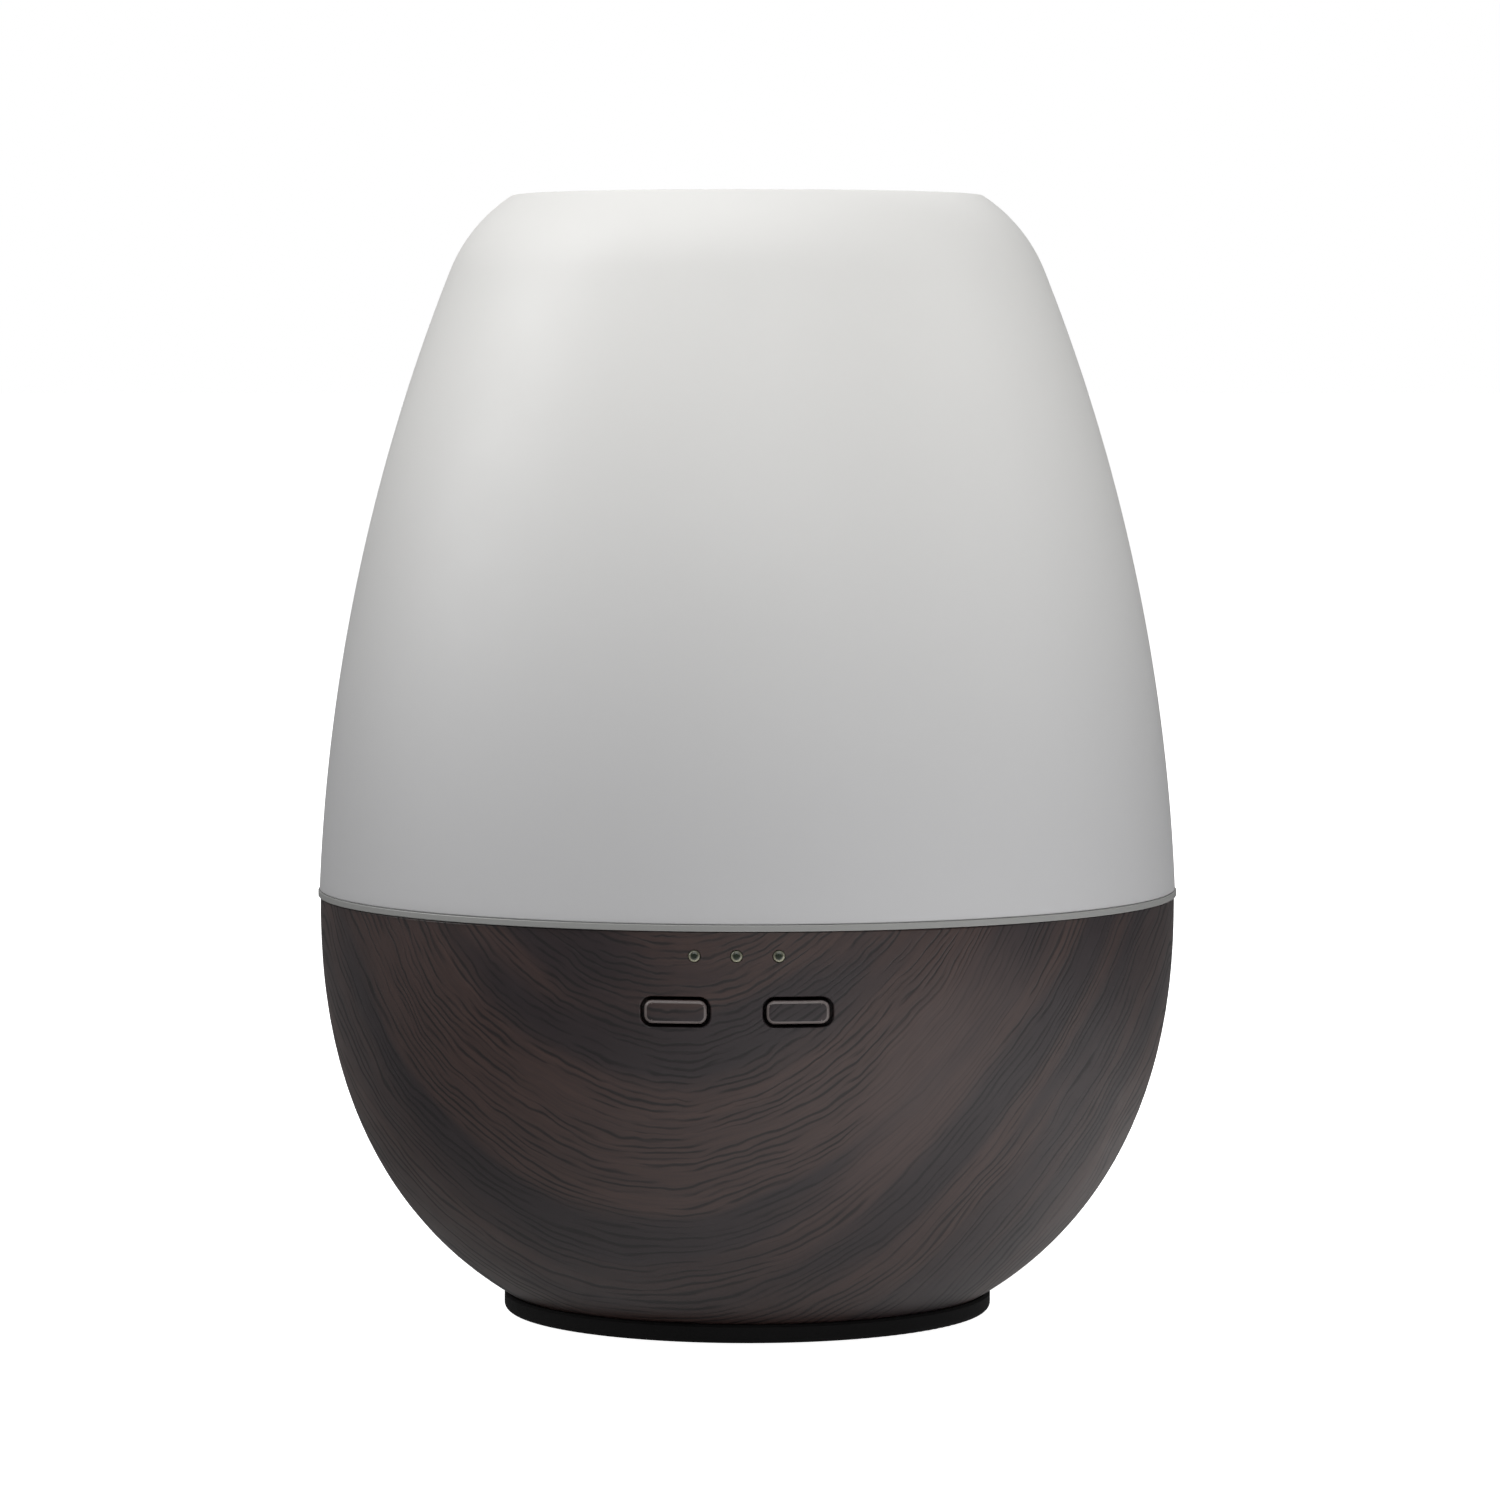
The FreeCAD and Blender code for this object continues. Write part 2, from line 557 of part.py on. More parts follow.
def air_grille():
    """Slots in rings under the fan, with three ribs left across them."""
    radii = [GRILLE_START + (GRILLE_SLOT + GRILLE_BAR) * i for i in range(GRILLE_RINGS)]
    rings = [tube(r, r + GRILLE_SLOT, PLATE_LOW - 1, PLATE_TOP + 1, 0, FAN_Y) for r in radii]
    slots = rings[0].multiFuse(rings[1:])
    for i in range(3):
        arm = block(0, FAN_BORE_RADIUS, FAN_Y - GRILLE_BAR / 2, FAN_Y + GRILLE_BAR / 2, 0, PLATE_TOP + 2)
        arm.rotate(vec(0, FAN_Y, 0), UP, 90 + 120 * i)
        slots = slots.cut(arm)
    return slots


def rubber_feet():
    pads = []
    for x, y in PADS:
        pad = cylinder(PAD_RADIUS, 0, PAD_THICK, x, y)
        pads.append(pad.makeFillet(EDGE_ROUND, [e for e in pad.Edges if e.BoundBox.ZMax < SMALL]))
    return pads


def foot_screws():
    one = screw(FOOT_SCREW_RADIUS, FOOT_SCREW_LENGTH)
    return [placed(one, vec(x, y, PLATE_TOP)) for x, y in FOOT_POSTS]


# ---- Tank and what is sealed into it -------------------------------------------------------------------
def tank_bore(z):
    """Inner radius of the basin at a height, above its fillet."""
    share = (z - TANK_FLOOR_Z) / (FLANGE_TOP - TANK_FLOOR_Z)
    return TANK_RADIUS - TANK_WALL - TANK_TAPER * (1 - share)


def water_tank():
    """Basin with a well for the mist plate, a flange that is the light band, a lip, a skirt and posts."""
    low = TANK_RADIUS - TANK_TAPER
    solid = spin_polygon([(0, TANK_UNDERSIDE), (low, TANK_UNDERSIDE), (TANK_RADIUS, SPLIT_Z),
                          (BODY_RADIUS, SPLIT_Z), (BODY_RADIUS, FLANGE_TOP), (0, FLANGE_TOP)])
    solid = solid.makeFillet(TANK_FILLET + TANK_WALL, ring_edges(solid, low, TANK_UNDERSIDE))
    edge = ring_edges(solid, BODY_RADIUS, SPLIT_Z) + ring_edges(solid, BODY_RADIUS, FLANGE_TOP)
    solid = solid.makeFillet(EDGE_ROUND / 2, edge)
    basin = spin_polygon([(0, TANK_FLOOR_Z), (tank_bore(TANK_FLOOR_Z), TANK_FLOOR_Z),
                          (tank_bore(FLANGE_TOP), FLANGE_TOP), (0, FLANGE_TOP)])
    basin = basin.makeFillet(TANK_FILLET, ring_edges(basin, tank_bore(TANK_FLOOR_Z), TANK_FLOOR_Z))
    lip_radius = DOME_RADIUS - DOME_WALL - LIP_CLEARANCE
    skirt_radius = MOUTH_RADIUS - SKIRT_CLEARANCE
    lip = tube(lip_radius - LIP_WALL, lip_radius, SPLIT_Z + FLANGE_THICK / 2, FLANGE_TOP + LIP_HEIGHT)
    lip = lip.makeChamfer(EDGE_ROUND, ring_edges(lip, lip_radius, FLANGE_TOP + LIP_HEIGHT))
    skirt = tube(skirt_radius - SKIRT_WALL, skirt_radius, SPLIT_Z - SKIRT_HEIGHT, SPLIT_Z + FLANGE_THICK / 2)
    inside_floor = TANK_FLOOR_Z - TANK_WALL / 2
    well = cylinder(WELL_RADIUS + TANK_WALL, WELL_UNDERSIDE, inside_floor)
    seal_bore = SEAL_RADIUS + SLIP
    collar = tube(seal_bore, seal_bore + SEAL_COLLAR, CLAMP_TOP + SLIP, WELL_UNDERSIDE + TANK_WALL / 2)
    added = [lip, skirt, well, collar]
    added += [cylinder(FOOT_POST_RADIUS, POST_LOW, inside_floor, x, y) for x, y in FOOT_POSTS]
    added += [cylinder(BOARD_POST_RADIUS, BOARD_TOP, inside_floor, x, y) for x, y in BOARD_POSTS]
    for angle in EAR_ANGLES:
        added.append(cylinder(EAR_RADIUS - 0.5, CLAMP_TOP, inside_floor, *on_circle(EAR_PITCH_RADIUS, angle)))
    for angle in LIGHT_POST_ANGLES:
        x, y = on_circle(LIGHT_PITCH_RADIUS, angle)
        added.append(cylinder(LIGHT_POST_RADIUS, LIGHT_TOP, SPLIT_Z + FLANGE_THICK / 2, x, y))
    tank = solid.cut(basin).multiFuse(added)
    tank = tank.cut(cylinder(WELL_RADIUS, WELL_FLOOR, TANK_FLOOR_Z + 1))
    tank = tank.cut(cylinder(WELL_HOLE_RADIUS, WELL_UNDERSIDE - 1, WELL_FLOOR + 1))
    tank = tank.fuse(fill_line())
    duct_hole = stadium(DUCT_LENGTH + 2 * PRESS_SLIP, DUCT_WIDTH + 2 * PRESS_SLIP,
                        TANK_UNDERSIDE - 1, TANK_FLOOR_Z + 1, DUCT_Y)
    holes = [duct_hole, cylinder(PROBE_RADIUS + PRESS_SLIP, TANK_UNDERSIDE - 1, TANK_FLOOR_Z + 1, PROBE_X, 0)]
    foot_thread = FOOT_SCREW_RADIUS + SCREW_SLIP
    thread = SMALL_SCREW_RADIUS + SCREW_SLIP
    holes += [cylinder(foot_thread, POST_LOW - 1, POST_LOW + FOOT_THREAD_DEPTH, x, y) for x, y in FOOT_POSTS]
    holes += [cylinder(thread, BOARD_TOP - 1, BOARD_TOP + BOARD_THREAD_DEPTH, x, y) for x, y in BOARD_POSTS]
    for pitch, angles, low in ((EAR_PITCH_RADIUS, EAR_ANGLES, CLAMP_TOP),
                               (LIGHT_PITCH_RADIUS, LIGHT_POST_ANGLES, LIGHT_TOP)):
        for angle in angles:
            holes.append(cylinder(thread, low - 1, low + SMALL_THREAD_DEPTH, *on_circle(pitch, angle)))
    for hole in holes:
        tank = tank.cut(hole)
    return tank.removeSplitter()


def fill_line():
    """Raised line on the basin's rear wall that marks the highest water level."""
    radius = tank_bore(FILL_LINE_Z)
    ring = tube(radius - FILL_LINE_PROUD, radius + TANK_WALL / 2, FILL_LINE_Z,
                FILL_LINE_Z + FILL_LINE_HEIGHT)
    left = on_circle(BODY_RADIUS, 90 - FILL_LINE_ANGLE)
    right = on_circle(BODY_RADIUS, 90 + FILL_LINE_ANGLE)
    wedge = Part.makePolygon([vec(0, 0, 0), vec(*left, 0), vec(*right, 0), vec(0, 0, 0)])
    return ring.common(Part.Face(wedge).extrude(vec(0, 0, TOTAL_HEIGHT)))


def air_duct():
    """Stands in the tank above the water and lets the fan's air into the dome."""
    low = TANK_UNDERSIDE - DUCT_TAIL
    outer = stadium(DUCT_LENGTH, DUCT_WIDTH, low, DUCT_TOP, DUCT_Y)
    flange = stadium(DUCT_LENGTH + 2 * DUCT_FLANGE, DUCT_WIDTH + 2 * DUCT_FLANGE,
                     TANK_FLOOR_Z, TANK_FLOOR_Z + DUCT_WALL, DUCT_Y)
    bore = stadium(DUCT_LENGTH - 2 * DUCT_WALL, DUCT_WIDTH - 2 * DUCT_WALL, low - 1, DUCT_TOP + 1, DUCT_Y)
    return outer.fuse(flange).cut(bore).removeSplitter()


def level_probe():
    """Steel pin through the tank's floor that feels whether there is water."""
    stem = cylinder(PROBE_RADIUS, TANK_UNDERSIDE - PROBE_TAIL, TANK_FLOOR_Z + PROBE_TIP, PROBE_X, 0)
    head = cylinder(2 * PROBE_RADIUS, TANK_FLOOR_Z, TANK_FLOOR_Z + PROBE_HEAD_THICK, PROBE_X, 0)
    nut = cylinder(2 * PROBE_RADIUS, TANK_UNDERSIDE - PROBE_NUT_THICK, TANK_UNDERSIDE, PROBE_X, 0)
    return join(stem, head, nut)


SEAL_MIDDLE = WELL_UNDERSIDE - SEAL_THICK / 2


def transducer_disc():
    return cylinder(DISC_RADIUS, SEAL_MIDDLE - DISC_THICK / 2, SEAL_MIDDLE + DISC_THICK / 2)


def transducer_seal():
    ring = tube(WELL_HOLE_RADIUS, SEAL_RADIUS, CLAMP_TOP, WELL_UNDERSIDE)
    half = DISC_THICK / 2 + PRESS_SLIP
    return ring.cut(cylinder(DISC_RADIUS + PRESS_SLIP, SEAL_MIDDLE - half, SEAL_MIDDLE + half))


def transducer_clamp():
    low = CLAMP_TOP - CLAMP_THICK
    parts = [cylinder(CLAMP_RADIUS, low, CLAMP_TOP)]
    for angle in EAR_ANGLES:
        parts.append(cylinder(EAR_RADIUS, low, CLAMP_TOP, *on_circle(EAR_PITCH_RADIUS, angle)))
    plate = join(*parts).cut(cylinder(WELL_HOLE_RADIUS + CLAMP_HOLE_MARGIN, low - 1, CLAMP_TOP + 1))
    for angle in EAR_ANGLES:
        place = on_circle(EAR_PITCH_RADIUS, angle)
        plate = plate.cut(cylinder(SMALL_SCREW_RADIUS + SLIP, low - 1, CLAMP_TOP + 1, *place))
    return plate


def clamp_screws():
    one = screw(SMALL_SCREW_RADIUS, SMALL_SCREW_LENGTH)
    low = CLAMP_TOP - CLAMP_THICK
    return [placed(one, vec(*on_circle(EAR_PITCH_RADIUS, angle), low)) for angle in EAR_ANGLES]


# ---- Cover: dome and chimney ---------------------------------------------------------------------------
def dome_centres():
    """Centres (radius, height) and radii of the side's and the shoulder's arcs, which run on smoothly."""
    widest = SPLIT_Z - BULGE_DROP
    low = FLANGE_TOP - widest
    high = TOTAL_HEIGHT - SHOULDER_DROP - widest
    side_x = (DOME_RADIUS ** 2 + low ** 2 - SHOULDER_RADIUS ** 2 - high ** 2) / (
        2 * (DOME_RADIUS - SHOULDER_RADIUS))
    side_radius = math.hypot(SHOULDER_RADIUS - side_x, high)
    normal_x = (SHOULDER_RADIUS - side_x) / side_radius
    normal_z = high / side_radius
    across = SHOULDER_RADIUS - RIM_RADIUS
    shoulder = (across ** 2 + SHOULDER_DROP ** 2) / (2 * (across * normal_x - SHOULDER_DROP * normal_z))
    shoulder_x = SHOULDER_RADIUS - shoulder * normal_x
    shoulder_z = TOTAL_HEIGHT - SHOULDER_DROP - shoulder * normal_z
    return (side_x, widest, side_radius), (shoulder_x, shoulder_z, shoulder)


def arc(centre_x, centre_z, radius, low_angle, high_angle):
    """Edge in the XZ plane, angles in radians from +X towards +Z."""
    middle = (low_angle + high_angle) / 2
    ends = [vec(centre_x + radius * math.cos(a), 0, centre_z + radius * math.sin(a))
            for a in (low_angle, middle, high_angle)]
    return Part.Arc(*ends).toShape()


def dome_outline(inset, top):
    """The dome's side and shoulder, set in by its wall, from the flange up to a height."""
    (side_x, side_z, side_radius), (turn_x, turn_z, turn_radius) = dome_centres()
    turn_angle = math.asin((TOTAL_HEIGHT - SHOULDER_DROP - side_z) / side_radius)
    low_angle = math.asin((FLANGE_TOP - side_z) / (side_radius - inset))
    top_angle = math.asin((top - turn_z) / (turn_radius - inset))
    side = arc(side_x, side_z, side_radius - inset, low_angle, turn_angle)
    shoulder = arc(turn_x, turn_z, turn_radius - inset, turn_angle, top_angle)
    start = side.valueAt(side.FirstParameter)
    end = shoulder.valueAt(shoulder.LastParameter)
    return [side, shoulder], start, end


def cover_dome():
    """Frosted shell with a dished top and a hole for the chimney's collar."""
    hole = OUTLET_RADIUS + CHIMNEY_WALL + PRESS_SLIP
    outside, outer_start, outer_end = dome_outline(0, TOTAL_HEIGHT)
    inside, inner_start, inner_end = dome_outline(DOME_WALL, TOTAL_HEIGHT - DOME_WALL)
    dish_edge = RIM_RADIUS - RIM_WIDTH
    dish = [(dish_edge, TOTAL_HEIGHT), (DISH_FLOOR_RADIUS, DISH_Z), (hole, DISH_Z)]
    top = [outer_end] + [vec(r, 0, z) for r, z in dish]
    top += [vec(r, 0, z - DOME_WALL) for r, z in reversed(dish)] + [inner_end]
    lines = [Part.makeLine(a, b) for a, b in zip(top, top[1:]) if a.distanceToPoint(b) > SMALL]
    dome = spin(outside + inside + lines + [Part.makeLine(inner_start, outer_start)])
    dome = dome.makeFillet(RIM_ROUND, ring_edges(dome, RIM_RADIUS, TOTAL_HEIGHT))
    return dome.makeFillet(EDGE_ROUND, ring_edges(dome, DOME_RADIUS, FLANGE_TOP))


def mist_chimney():
    """Tapered tube that leads the mist to the outlet; its collar shows in the dish."""
    collar = OUTLET_RADIUS + CHIMNEY_WALL
    under = DISH_Z - DOME_WALL
    low = DUCT_TOP + CHIMNEY_CLEARANCE
    chimney = spin_polygon([
        (OUTLET_RADIUS, DISH_Z + COLLAR_PROUD), (collar, DISH_Z + COLLAR_PROUD), (collar, under),
        (collar + COLLAR_FLANGE, under), (collar + COLLAR_FLANGE, under - COLLAR_FLANGE_THICK),
        (collar, under - COLLAR_FLANGE_THICK), (CHIMNEY_MOUTH_RADIUS + CHIMNEY_WALL, low),
        (CHIMNEY_MOUTH_RADIUS, low), (OUTLET_RADIUS, under - COLLAR_FLANGE_THICK)])
    top_edges = ring_edges(chimney, collar, DISH_Z + COLLAR_PROUD)
    top_edges += ring_edges(chimney, OUTLET_RADIUS, DISH_Z + COLLAR_PROUD)
    return chimney.makeFillet(EDGE_ROUND, top_edges)


# ---- Buttons, key board and indicators -----------------------------------------------------------------
def button(side):
    """Cap that follows the bowl's face, with a flange behind the shell and a nib on the switch."""
    x = side * KEY_X
    width = WINDOW_WIDTH - 2 * KEY_GAP
    height = WINDOW_HEIGHT - 2 * KEY_GAP
    flange_back = PLUNGER_TIP_Y - SLIP
    flange_front = flange_back - KEY_FLANGE_THICK
    cap = rounded_bar(width, height, WINDOW_CORNER - KEY_GAP, -BOWL_RADIUS - 2, flange_back, x, KEY_Z)
    cap = cap.common(bowl_solid(-KEY_PROUD, FOOT_HEIGHT))
    face = max(cap.Faces, key=lambda f: -f.CenterOfMass.y)
    cap = cap.makeChamfer(KEY_BEVEL, face.Edges)
    flange = rounded_bar(WINDOW_WIDTH + 2 * KEY_FLANGE_OVERLAP, WINDOW_HEIGHT + 3 * KEY_FLANGE_OVERLAP,
                         WINDOW_CORNER, flange_front, flange_back, x, KEY_Z)
    flange = flange.common(bowl_solid(SHELL_WALL + KEY_FLANGE_GAP, FOOT_HEIGHT + SHELL_LEDGE))
    nib = rod_along_y(KEY_NIB_RADIUS, flange_back, PLUNGER_TIP_Y, x, KEY_Z)
    return join(cap, flange, nib)


def plunger(side):
    """The switch's own moving pin, which the button's nib rests on."""
    back = PLUNGER_TIP_Y + PLUNGER_PROUD + PLUNGER_INSIDE
    return rod_along_y(PLUNGER_RADIUS, PLUNGER_TIP_Y, back, side * KEY_X, KEY_Z)


def key_switches():
    half = SWITCH_SIZE / 2
    front = KEY_FACE_Y - SWITCH_HEIGHT
    bodies = []
    for side in (-1, 1):
        x = side * KEY_X
        body = block(x - half, x + half, front, KEY_FACE_Y, KEY_Z - half, KEY_Z + half)
        body = body.makeFillet(SWITCH_CORNER, edges_along(body, ALONG_Y))
        depth = PLUNGER_INSIDE + KEY_TRAVEL + SLIP
        bore = rod_along_y(PLUNGER_RADIUS + PLUNGER_SLIP, front - 1, front + depth, x, KEY_Z)
        bodies.append(body.cut(bore))
    return bodies


def key_board():
    board = block(-KEY_BOARD_WIDTH / 2, KEY_BOARD_WIDTH / 2, KEY_FACE_Y, KEY_BACK_Y,
                  KEY_BOARD_TOP - KEY_BOARD_HEIGHT, KEY_BOARD_TOP)
    for side in (-1, 1):
        board = board.cut(rod_along_y(SMALL_SCREW_RADIUS + SLIP, KEY_FACE_Y - 1, KEY_BACK_Y + 1,
                                      side * KEY_POST_X, KEY_Z))
    return board


def key_screws():
    one = screw(SMALL_SCREW_RADIUS, KEY_SCREW_LENGTH)
    return [placed(one, vec(side * KEY_POST_X, KEY_BACK_Y, KEY_Z), ALONG_X, 90) for side in (-1, 1)]


KEY_PLUG_LOW = KEY_Z - KEY_PLUG_HEIGHT


def key_connector():
    """Socket of the key board's lead, between the two buttons' flanges."""
    half = KEY_X - WINDOW_WIDTH / 2 - KEY_FLANGE_OVERLAP - SLIP
    return block(-half, half, KEY_FACE_Y - KEY_PLUG_DEPTH, KEY_FACE_Y, KEY_PLUG_LOW, KEY_Z)


def indicator_leds():
    lamps = []
    for i in (-1, 0, 1):
        x = i * LENS_PITCH
        lamps.append(block(x - INDICATOR_WIDTH / 2, x + INDICATOR_WIDTH / 2, KEY_FACE_Y - INDICATOR_THICK,
                           KEY_FACE_Y, LENS_Z - INDICATOR_HEIGHT / 2, LENS_Z + INDICATOR_HEIGHT / 2))
    return lamps


def light_pipe():
    """Three clear rods on one bar: their domed ends are the indicators."""
    back = KEY_FACE_Y - INDICATOR_THICK - LENS_GAP
    half = LENS_PITCH + LENS_RADIUS + LENS_BAR_END
    bar_front = -math.sqrt(MOUTH_RADIUS ** 2 - half ** 2) + LENS_BAR_INSET
    bar_z = LENS_Z - LENS_RADIUS - LENS_BAR_BELOW
    parts = [block(-half, half, bar_front, bar_front + LENS_BAR_THICK, bar_z, bar_z + LENS_BAR_HEIGHT)]
    for i in (-1, 0, 1):
        x = i * LENS_PITCH
        front = -math.sqrt(bowl_radius(LENS_Z) ** 2 - x ** 2) - LENS_PROUD
        rod = rod_along_y(LENS_RADIUS, front, back, x, LENS_Z)
        tip = [e for e in rod.Edges if e.BoundBox.YMax < front + SMALL]
        parts.append(rod.makeFillet(LENS_RADIUS / 2, tip))
    return join(*parts)


def light_board():
    """C-shaped board under the tank's flange, open at the front for the key board."""
    ring = tube(LIGHT_INNER, LIGHT_OUTER, LIGHT_LOW, LIGHT_TOP)
    reach = 2 * BODY_RADIUS
    left = on_circle(reach, -90 - LIGHT_RING_GAP)
    right = on_circle(reach, -90 + LIGHT_RING_GAP)
    wedge = Part.makePolygon([vec(0, 0, 0), vec(*left, 0), vec(*right, 0), vec(0, 0, 0)])
    ring = ring.cut(Part.Face(wedge).extrude(vec(0, 0, TOTAL_HEIGHT)))
    for angle in LIGHT_POST_ANGLES:
        x, y = on_circle(LIGHT_PITCH_RADIUS, angle)
        ring = ring.cut(cylinder(SMALL_SCREW_RADIUS + SLIP, LIGHT_LOW - 1, LIGHT_TOP + 1, x, y))
    return ring


def light_screws():
    one = screw(SMALL_SCREW_RADIUS, SMALL_SCREW_LENGTH)
    return [placed(one, vec(*on_circle(LIGHT_PITCH_RADIUS, angle), LIGHT_LOW)) for angle in LIGHT_POST_ANGLES]


def light_leds():
    lamps = []
    for angle in LIGHT_LED_ANGLES:
        lamp = block(LIGHT_PITCH_RADIUS - LIGHT_LED_DEPTH / 2, LIGHT_PITCH_RADIUS + LIGHT_LED_DEPTH / 2,
                     -LIGHT_LED_WIDTH / 2, LIGHT_LED_WIDTH / 2, LIGHT_TOP, LIGHT_TOP + LIGHT_LED_THICK)
        lamp.rotate(vec(0, 0, 0), UP, angle)
        lamps.append(lamp)
    return lamps


# ---- Fan -----------------------------------------------------------------------------------------------
FAN_HOLE_OUT = FAN_SIZE / 2 - FAN_HOLE_INSET
FAN_HOLES = [(sx * FAN_HOLE_OUT, FAN_Y + sy * FAN_HOLE_OUT) for sx in (-1, 1) for sy in (-1, 1)]
MOTOR_BASE_LOW = FAN_TOP - MOTOR_BASE_THICK
HUB_LOW = FAN_LOW + HUB_RISE
HUB_TOP = MOTOR_BASE_LOW - HUB_CLEARANCE
SHAFT_TOP = MOTOR_BASE_LOW - SHAFT_CLEARANCE
BEARING_LOW = HUB_LOW + BEARING_RISE
BEARING_BOSS_RADIUS = BEARING_RADIUS + BEARING_BOSS_WALL


def fan_frame():
    """Square frame with a motor base on three spokes and a boss for the bearing."""
    half = FAN_SIZE / 2
    frame = block(-half, half, FAN_Y - half, FAN_Y + half, FAN_LOW, FAN_TOP)
    frame = frame.makeFillet(FAN_CORNER, edges_along(frame, UP))
    frame = frame.cut(cylinder(FAN_BORE_RADIUS, 0, FAN_TOP + 1, 0, FAN_Y))
    parts = [frame, cylinder(HUB_RADIUS, MOTOR_BASE_LOW, FAN_TOP, 0, FAN_Y),
             cylinder(BEARING_BOSS_RADIUS, BEARING_LOW - PRESS_SLIP, FAN_TOP, 0, FAN_Y)]
    for i in range(SPOKE_COUNT):
        spoke = block(HUB_RADIUS - HUB_WALL, FAN_BORE_RADIUS + FAN_WALL / 2, FAN_Y - SPOKE_WIDTH / 2,
                      FAN_Y + SPOKE_WIDTH / 2, MOTOR_BASE_LOW, FAN_TOP)
        spoke.rotate(vec(0, FAN_Y, 0), UP, 30 + 360 / SPOKE_COUNT * i)
        parts.append(spoke)
    frame = join(*parts)
    frame = frame.cut(cylinder(BEARING_RADIUS + SCREW_SLIP, 0, MOTOR_BASE_LOW, 0, FAN_Y))
    for x, y in FAN_HOLES:
        frame = frame.cut(cylinder(FAN_SCREW_RADIUS + SLIP, 0, FAN_TOP + 1, x, y))
    return frame


def fan_screws():
    one = screw(FAN_SCREW_RADIUS, FAN_HEIGHT + FAN_SCREW_BEYOND)
    return [placed(one, vec(x, y, FAN_TOP), ALONG_X, 180) for x, y in FAN_HOLES]


def fan_bearing():
    return tube(SHAFT_RADIUS + SHAFT_RUNNING_FIT, BEARING_RADIUS, BEARING_LOW, MOTOR_BASE_LOW, 0, FAN_Y)


def fan_stator():
    """Four-pole core round the bearing's boss."""
    low = BEARING_LOW + STATOR_LOW_GAP
    high = HUB_TOP - MAGNET_END_GAP
    bore = BEARING_BOSS_RADIUS + SCREW_SLIP
    core = tube(bore, STATOR_CORE_RADIUS, low, high, 0, FAN_Y)
    shoe = HUB_RADIUS - HUB_WALL - MAGNET_THICK - STATOR_AIR_GAP
    arm_low = low + SHOE_INSET
    arm_high = high - SHOE_INSET
    reach = shoe - SHOE_INSET
    rim = tube(shoe - SHOE_THICK, shoe, arm_low, arm_high, 0, FAN_Y)
    cut = cylinder(bore, 0, FAN_TOP, 0, FAN_Y)
    parts = [core]
    for turn in (0, 90):
        pole = block(-shoe, shoe, FAN_Y - POLE_WIDTH / 2, FAN_Y + POLE_WIDTH / 2, low, high).common(rim)
        arm = block(-reach, reach, FAN_Y - POLE_ARM_WIDTH / 2, FAN_Y + POLE_ARM_WIDTH / 2, arm_low, arm_high)
        arm = arm.cut(cut)
        for piece in (pole, arm):
            piece.rotate(vec(0, FAN_Y, 0), UP, turn)
            parts.append(piece)
    return join(*parts)


def fan_impeller():
    """Hub cup with slanted blades."""
    hub = cylinder(HUB_RADIUS, HUB_LOW, HUB_TOP, 0, FAN_Y)
    hub = hub.cut(cylinder(HUB_RADIUS - HUB_WALL, HUB_LOW + HUB_FLOOR, HUB_TOP + 1, 0, FAN_Y))
    blade_low = HUB_LOW + BLADE_INSET_LOW
    blade_high = HUB_TOP - BLADE_INSET_HIGH
    middle = (blade_low + blade_high) / 2
    zone = tube(HUB_RADIUS - HUB_WALL / 2, FAN_BORE_RADIUS - BLADE_TIP_GAP, blade_low, blade_high, 0, FAN_Y)
    parts = [hub, cylinder(SHAFT_RADIUS + HUB_BOSS_WALL, HUB_LOW, HUB_LOW + HUB_BOSS_HEIGHT, 0, FAN_Y)]
    for i in range(BLADE_COUNT):
        blade = block(0, FAN_BORE_RADIUS, -FAN_HEIGHT, FAN_HEIGHT, -BLADE_THICK / 2, BLADE_THICK / 2)
        blade.rotate(vec(0, 0, 0), ALONG_X, BLADE_PITCH_ANGLE)
        blade.translate(vec(0, FAN_Y, middle))
        blade.rotate(vec(0, FAN_Y, 0), UP, 360 / BLADE_COUNT * i)
        parts.append(blade.common(zone))
    socket = cylinder(SHAFT_RADIUS + SCREW_SLIP / 2, HUB_LOW + SHAFT_SOCKET, HUB_TOP, 0, FAN_Y)
    return join(*parts).cut(socket)


def rotor_magnet():
    outer = HUB_RADIUS - HUB_WALL - SCREW_SLIP
    low = HUB_LOW + HUB_FLOOR + PRESS_SLIP
    return tube(outer - MAGNET_THICK, outer, low, HUB_TOP - MAGNET_END_GAP, 0, FAN_Y)


def fan_shaft():
    return cylinder(SHAFT_RADIUS, HUB_LOW + SHAFT_SOCKET, SHAFT_TOP, 0, FAN_Y)


# ---- Main board and its parts --------------------------------------------------------------------------
BOARD_RADIUS = bowl_radius(BOARD_Z, SHELL_WALL) - BOARD_EDGE_GAP
BOARD_FRONT_Y = FAN_Y + FAN_SIZE / 2 + BOARD_FAN_GAP
BOARD_PLUGS = [(x, BOARD_FRONT_Y + up) for x, up in ((10.0, 8.0), (-10.0, 4.0), (18.0, 8.0), (-18.0, 10.0))]


def main_board():
    """Board behind the fan, hung on the tank's posts, with round clearances for the long posts."""
    board = cylinder(BOARD_RADIUS, BOARD_Z, BOARD_TOP)
    board = board.common(block(-BODY_RADIUS, BODY_RADIUS, BOARD_FRONT_Y, BODY_RADIUS, 0, TOTAL_HEIGHT))
    for x, y in FOOT_POSTS:
        board = board.cut(cylinder(FOOT_POST_RADIUS + BOARD_POST_ROOM, 0, BOARD_TOP + 1, x, y))
    for x, y in BOARD_POSTS:
        board = board.cut(cylinder(SMALL_SCREW_RADIUS + SLIP, 0, BOARD_TOP + 1, x, y))
    return board.Solids[0]


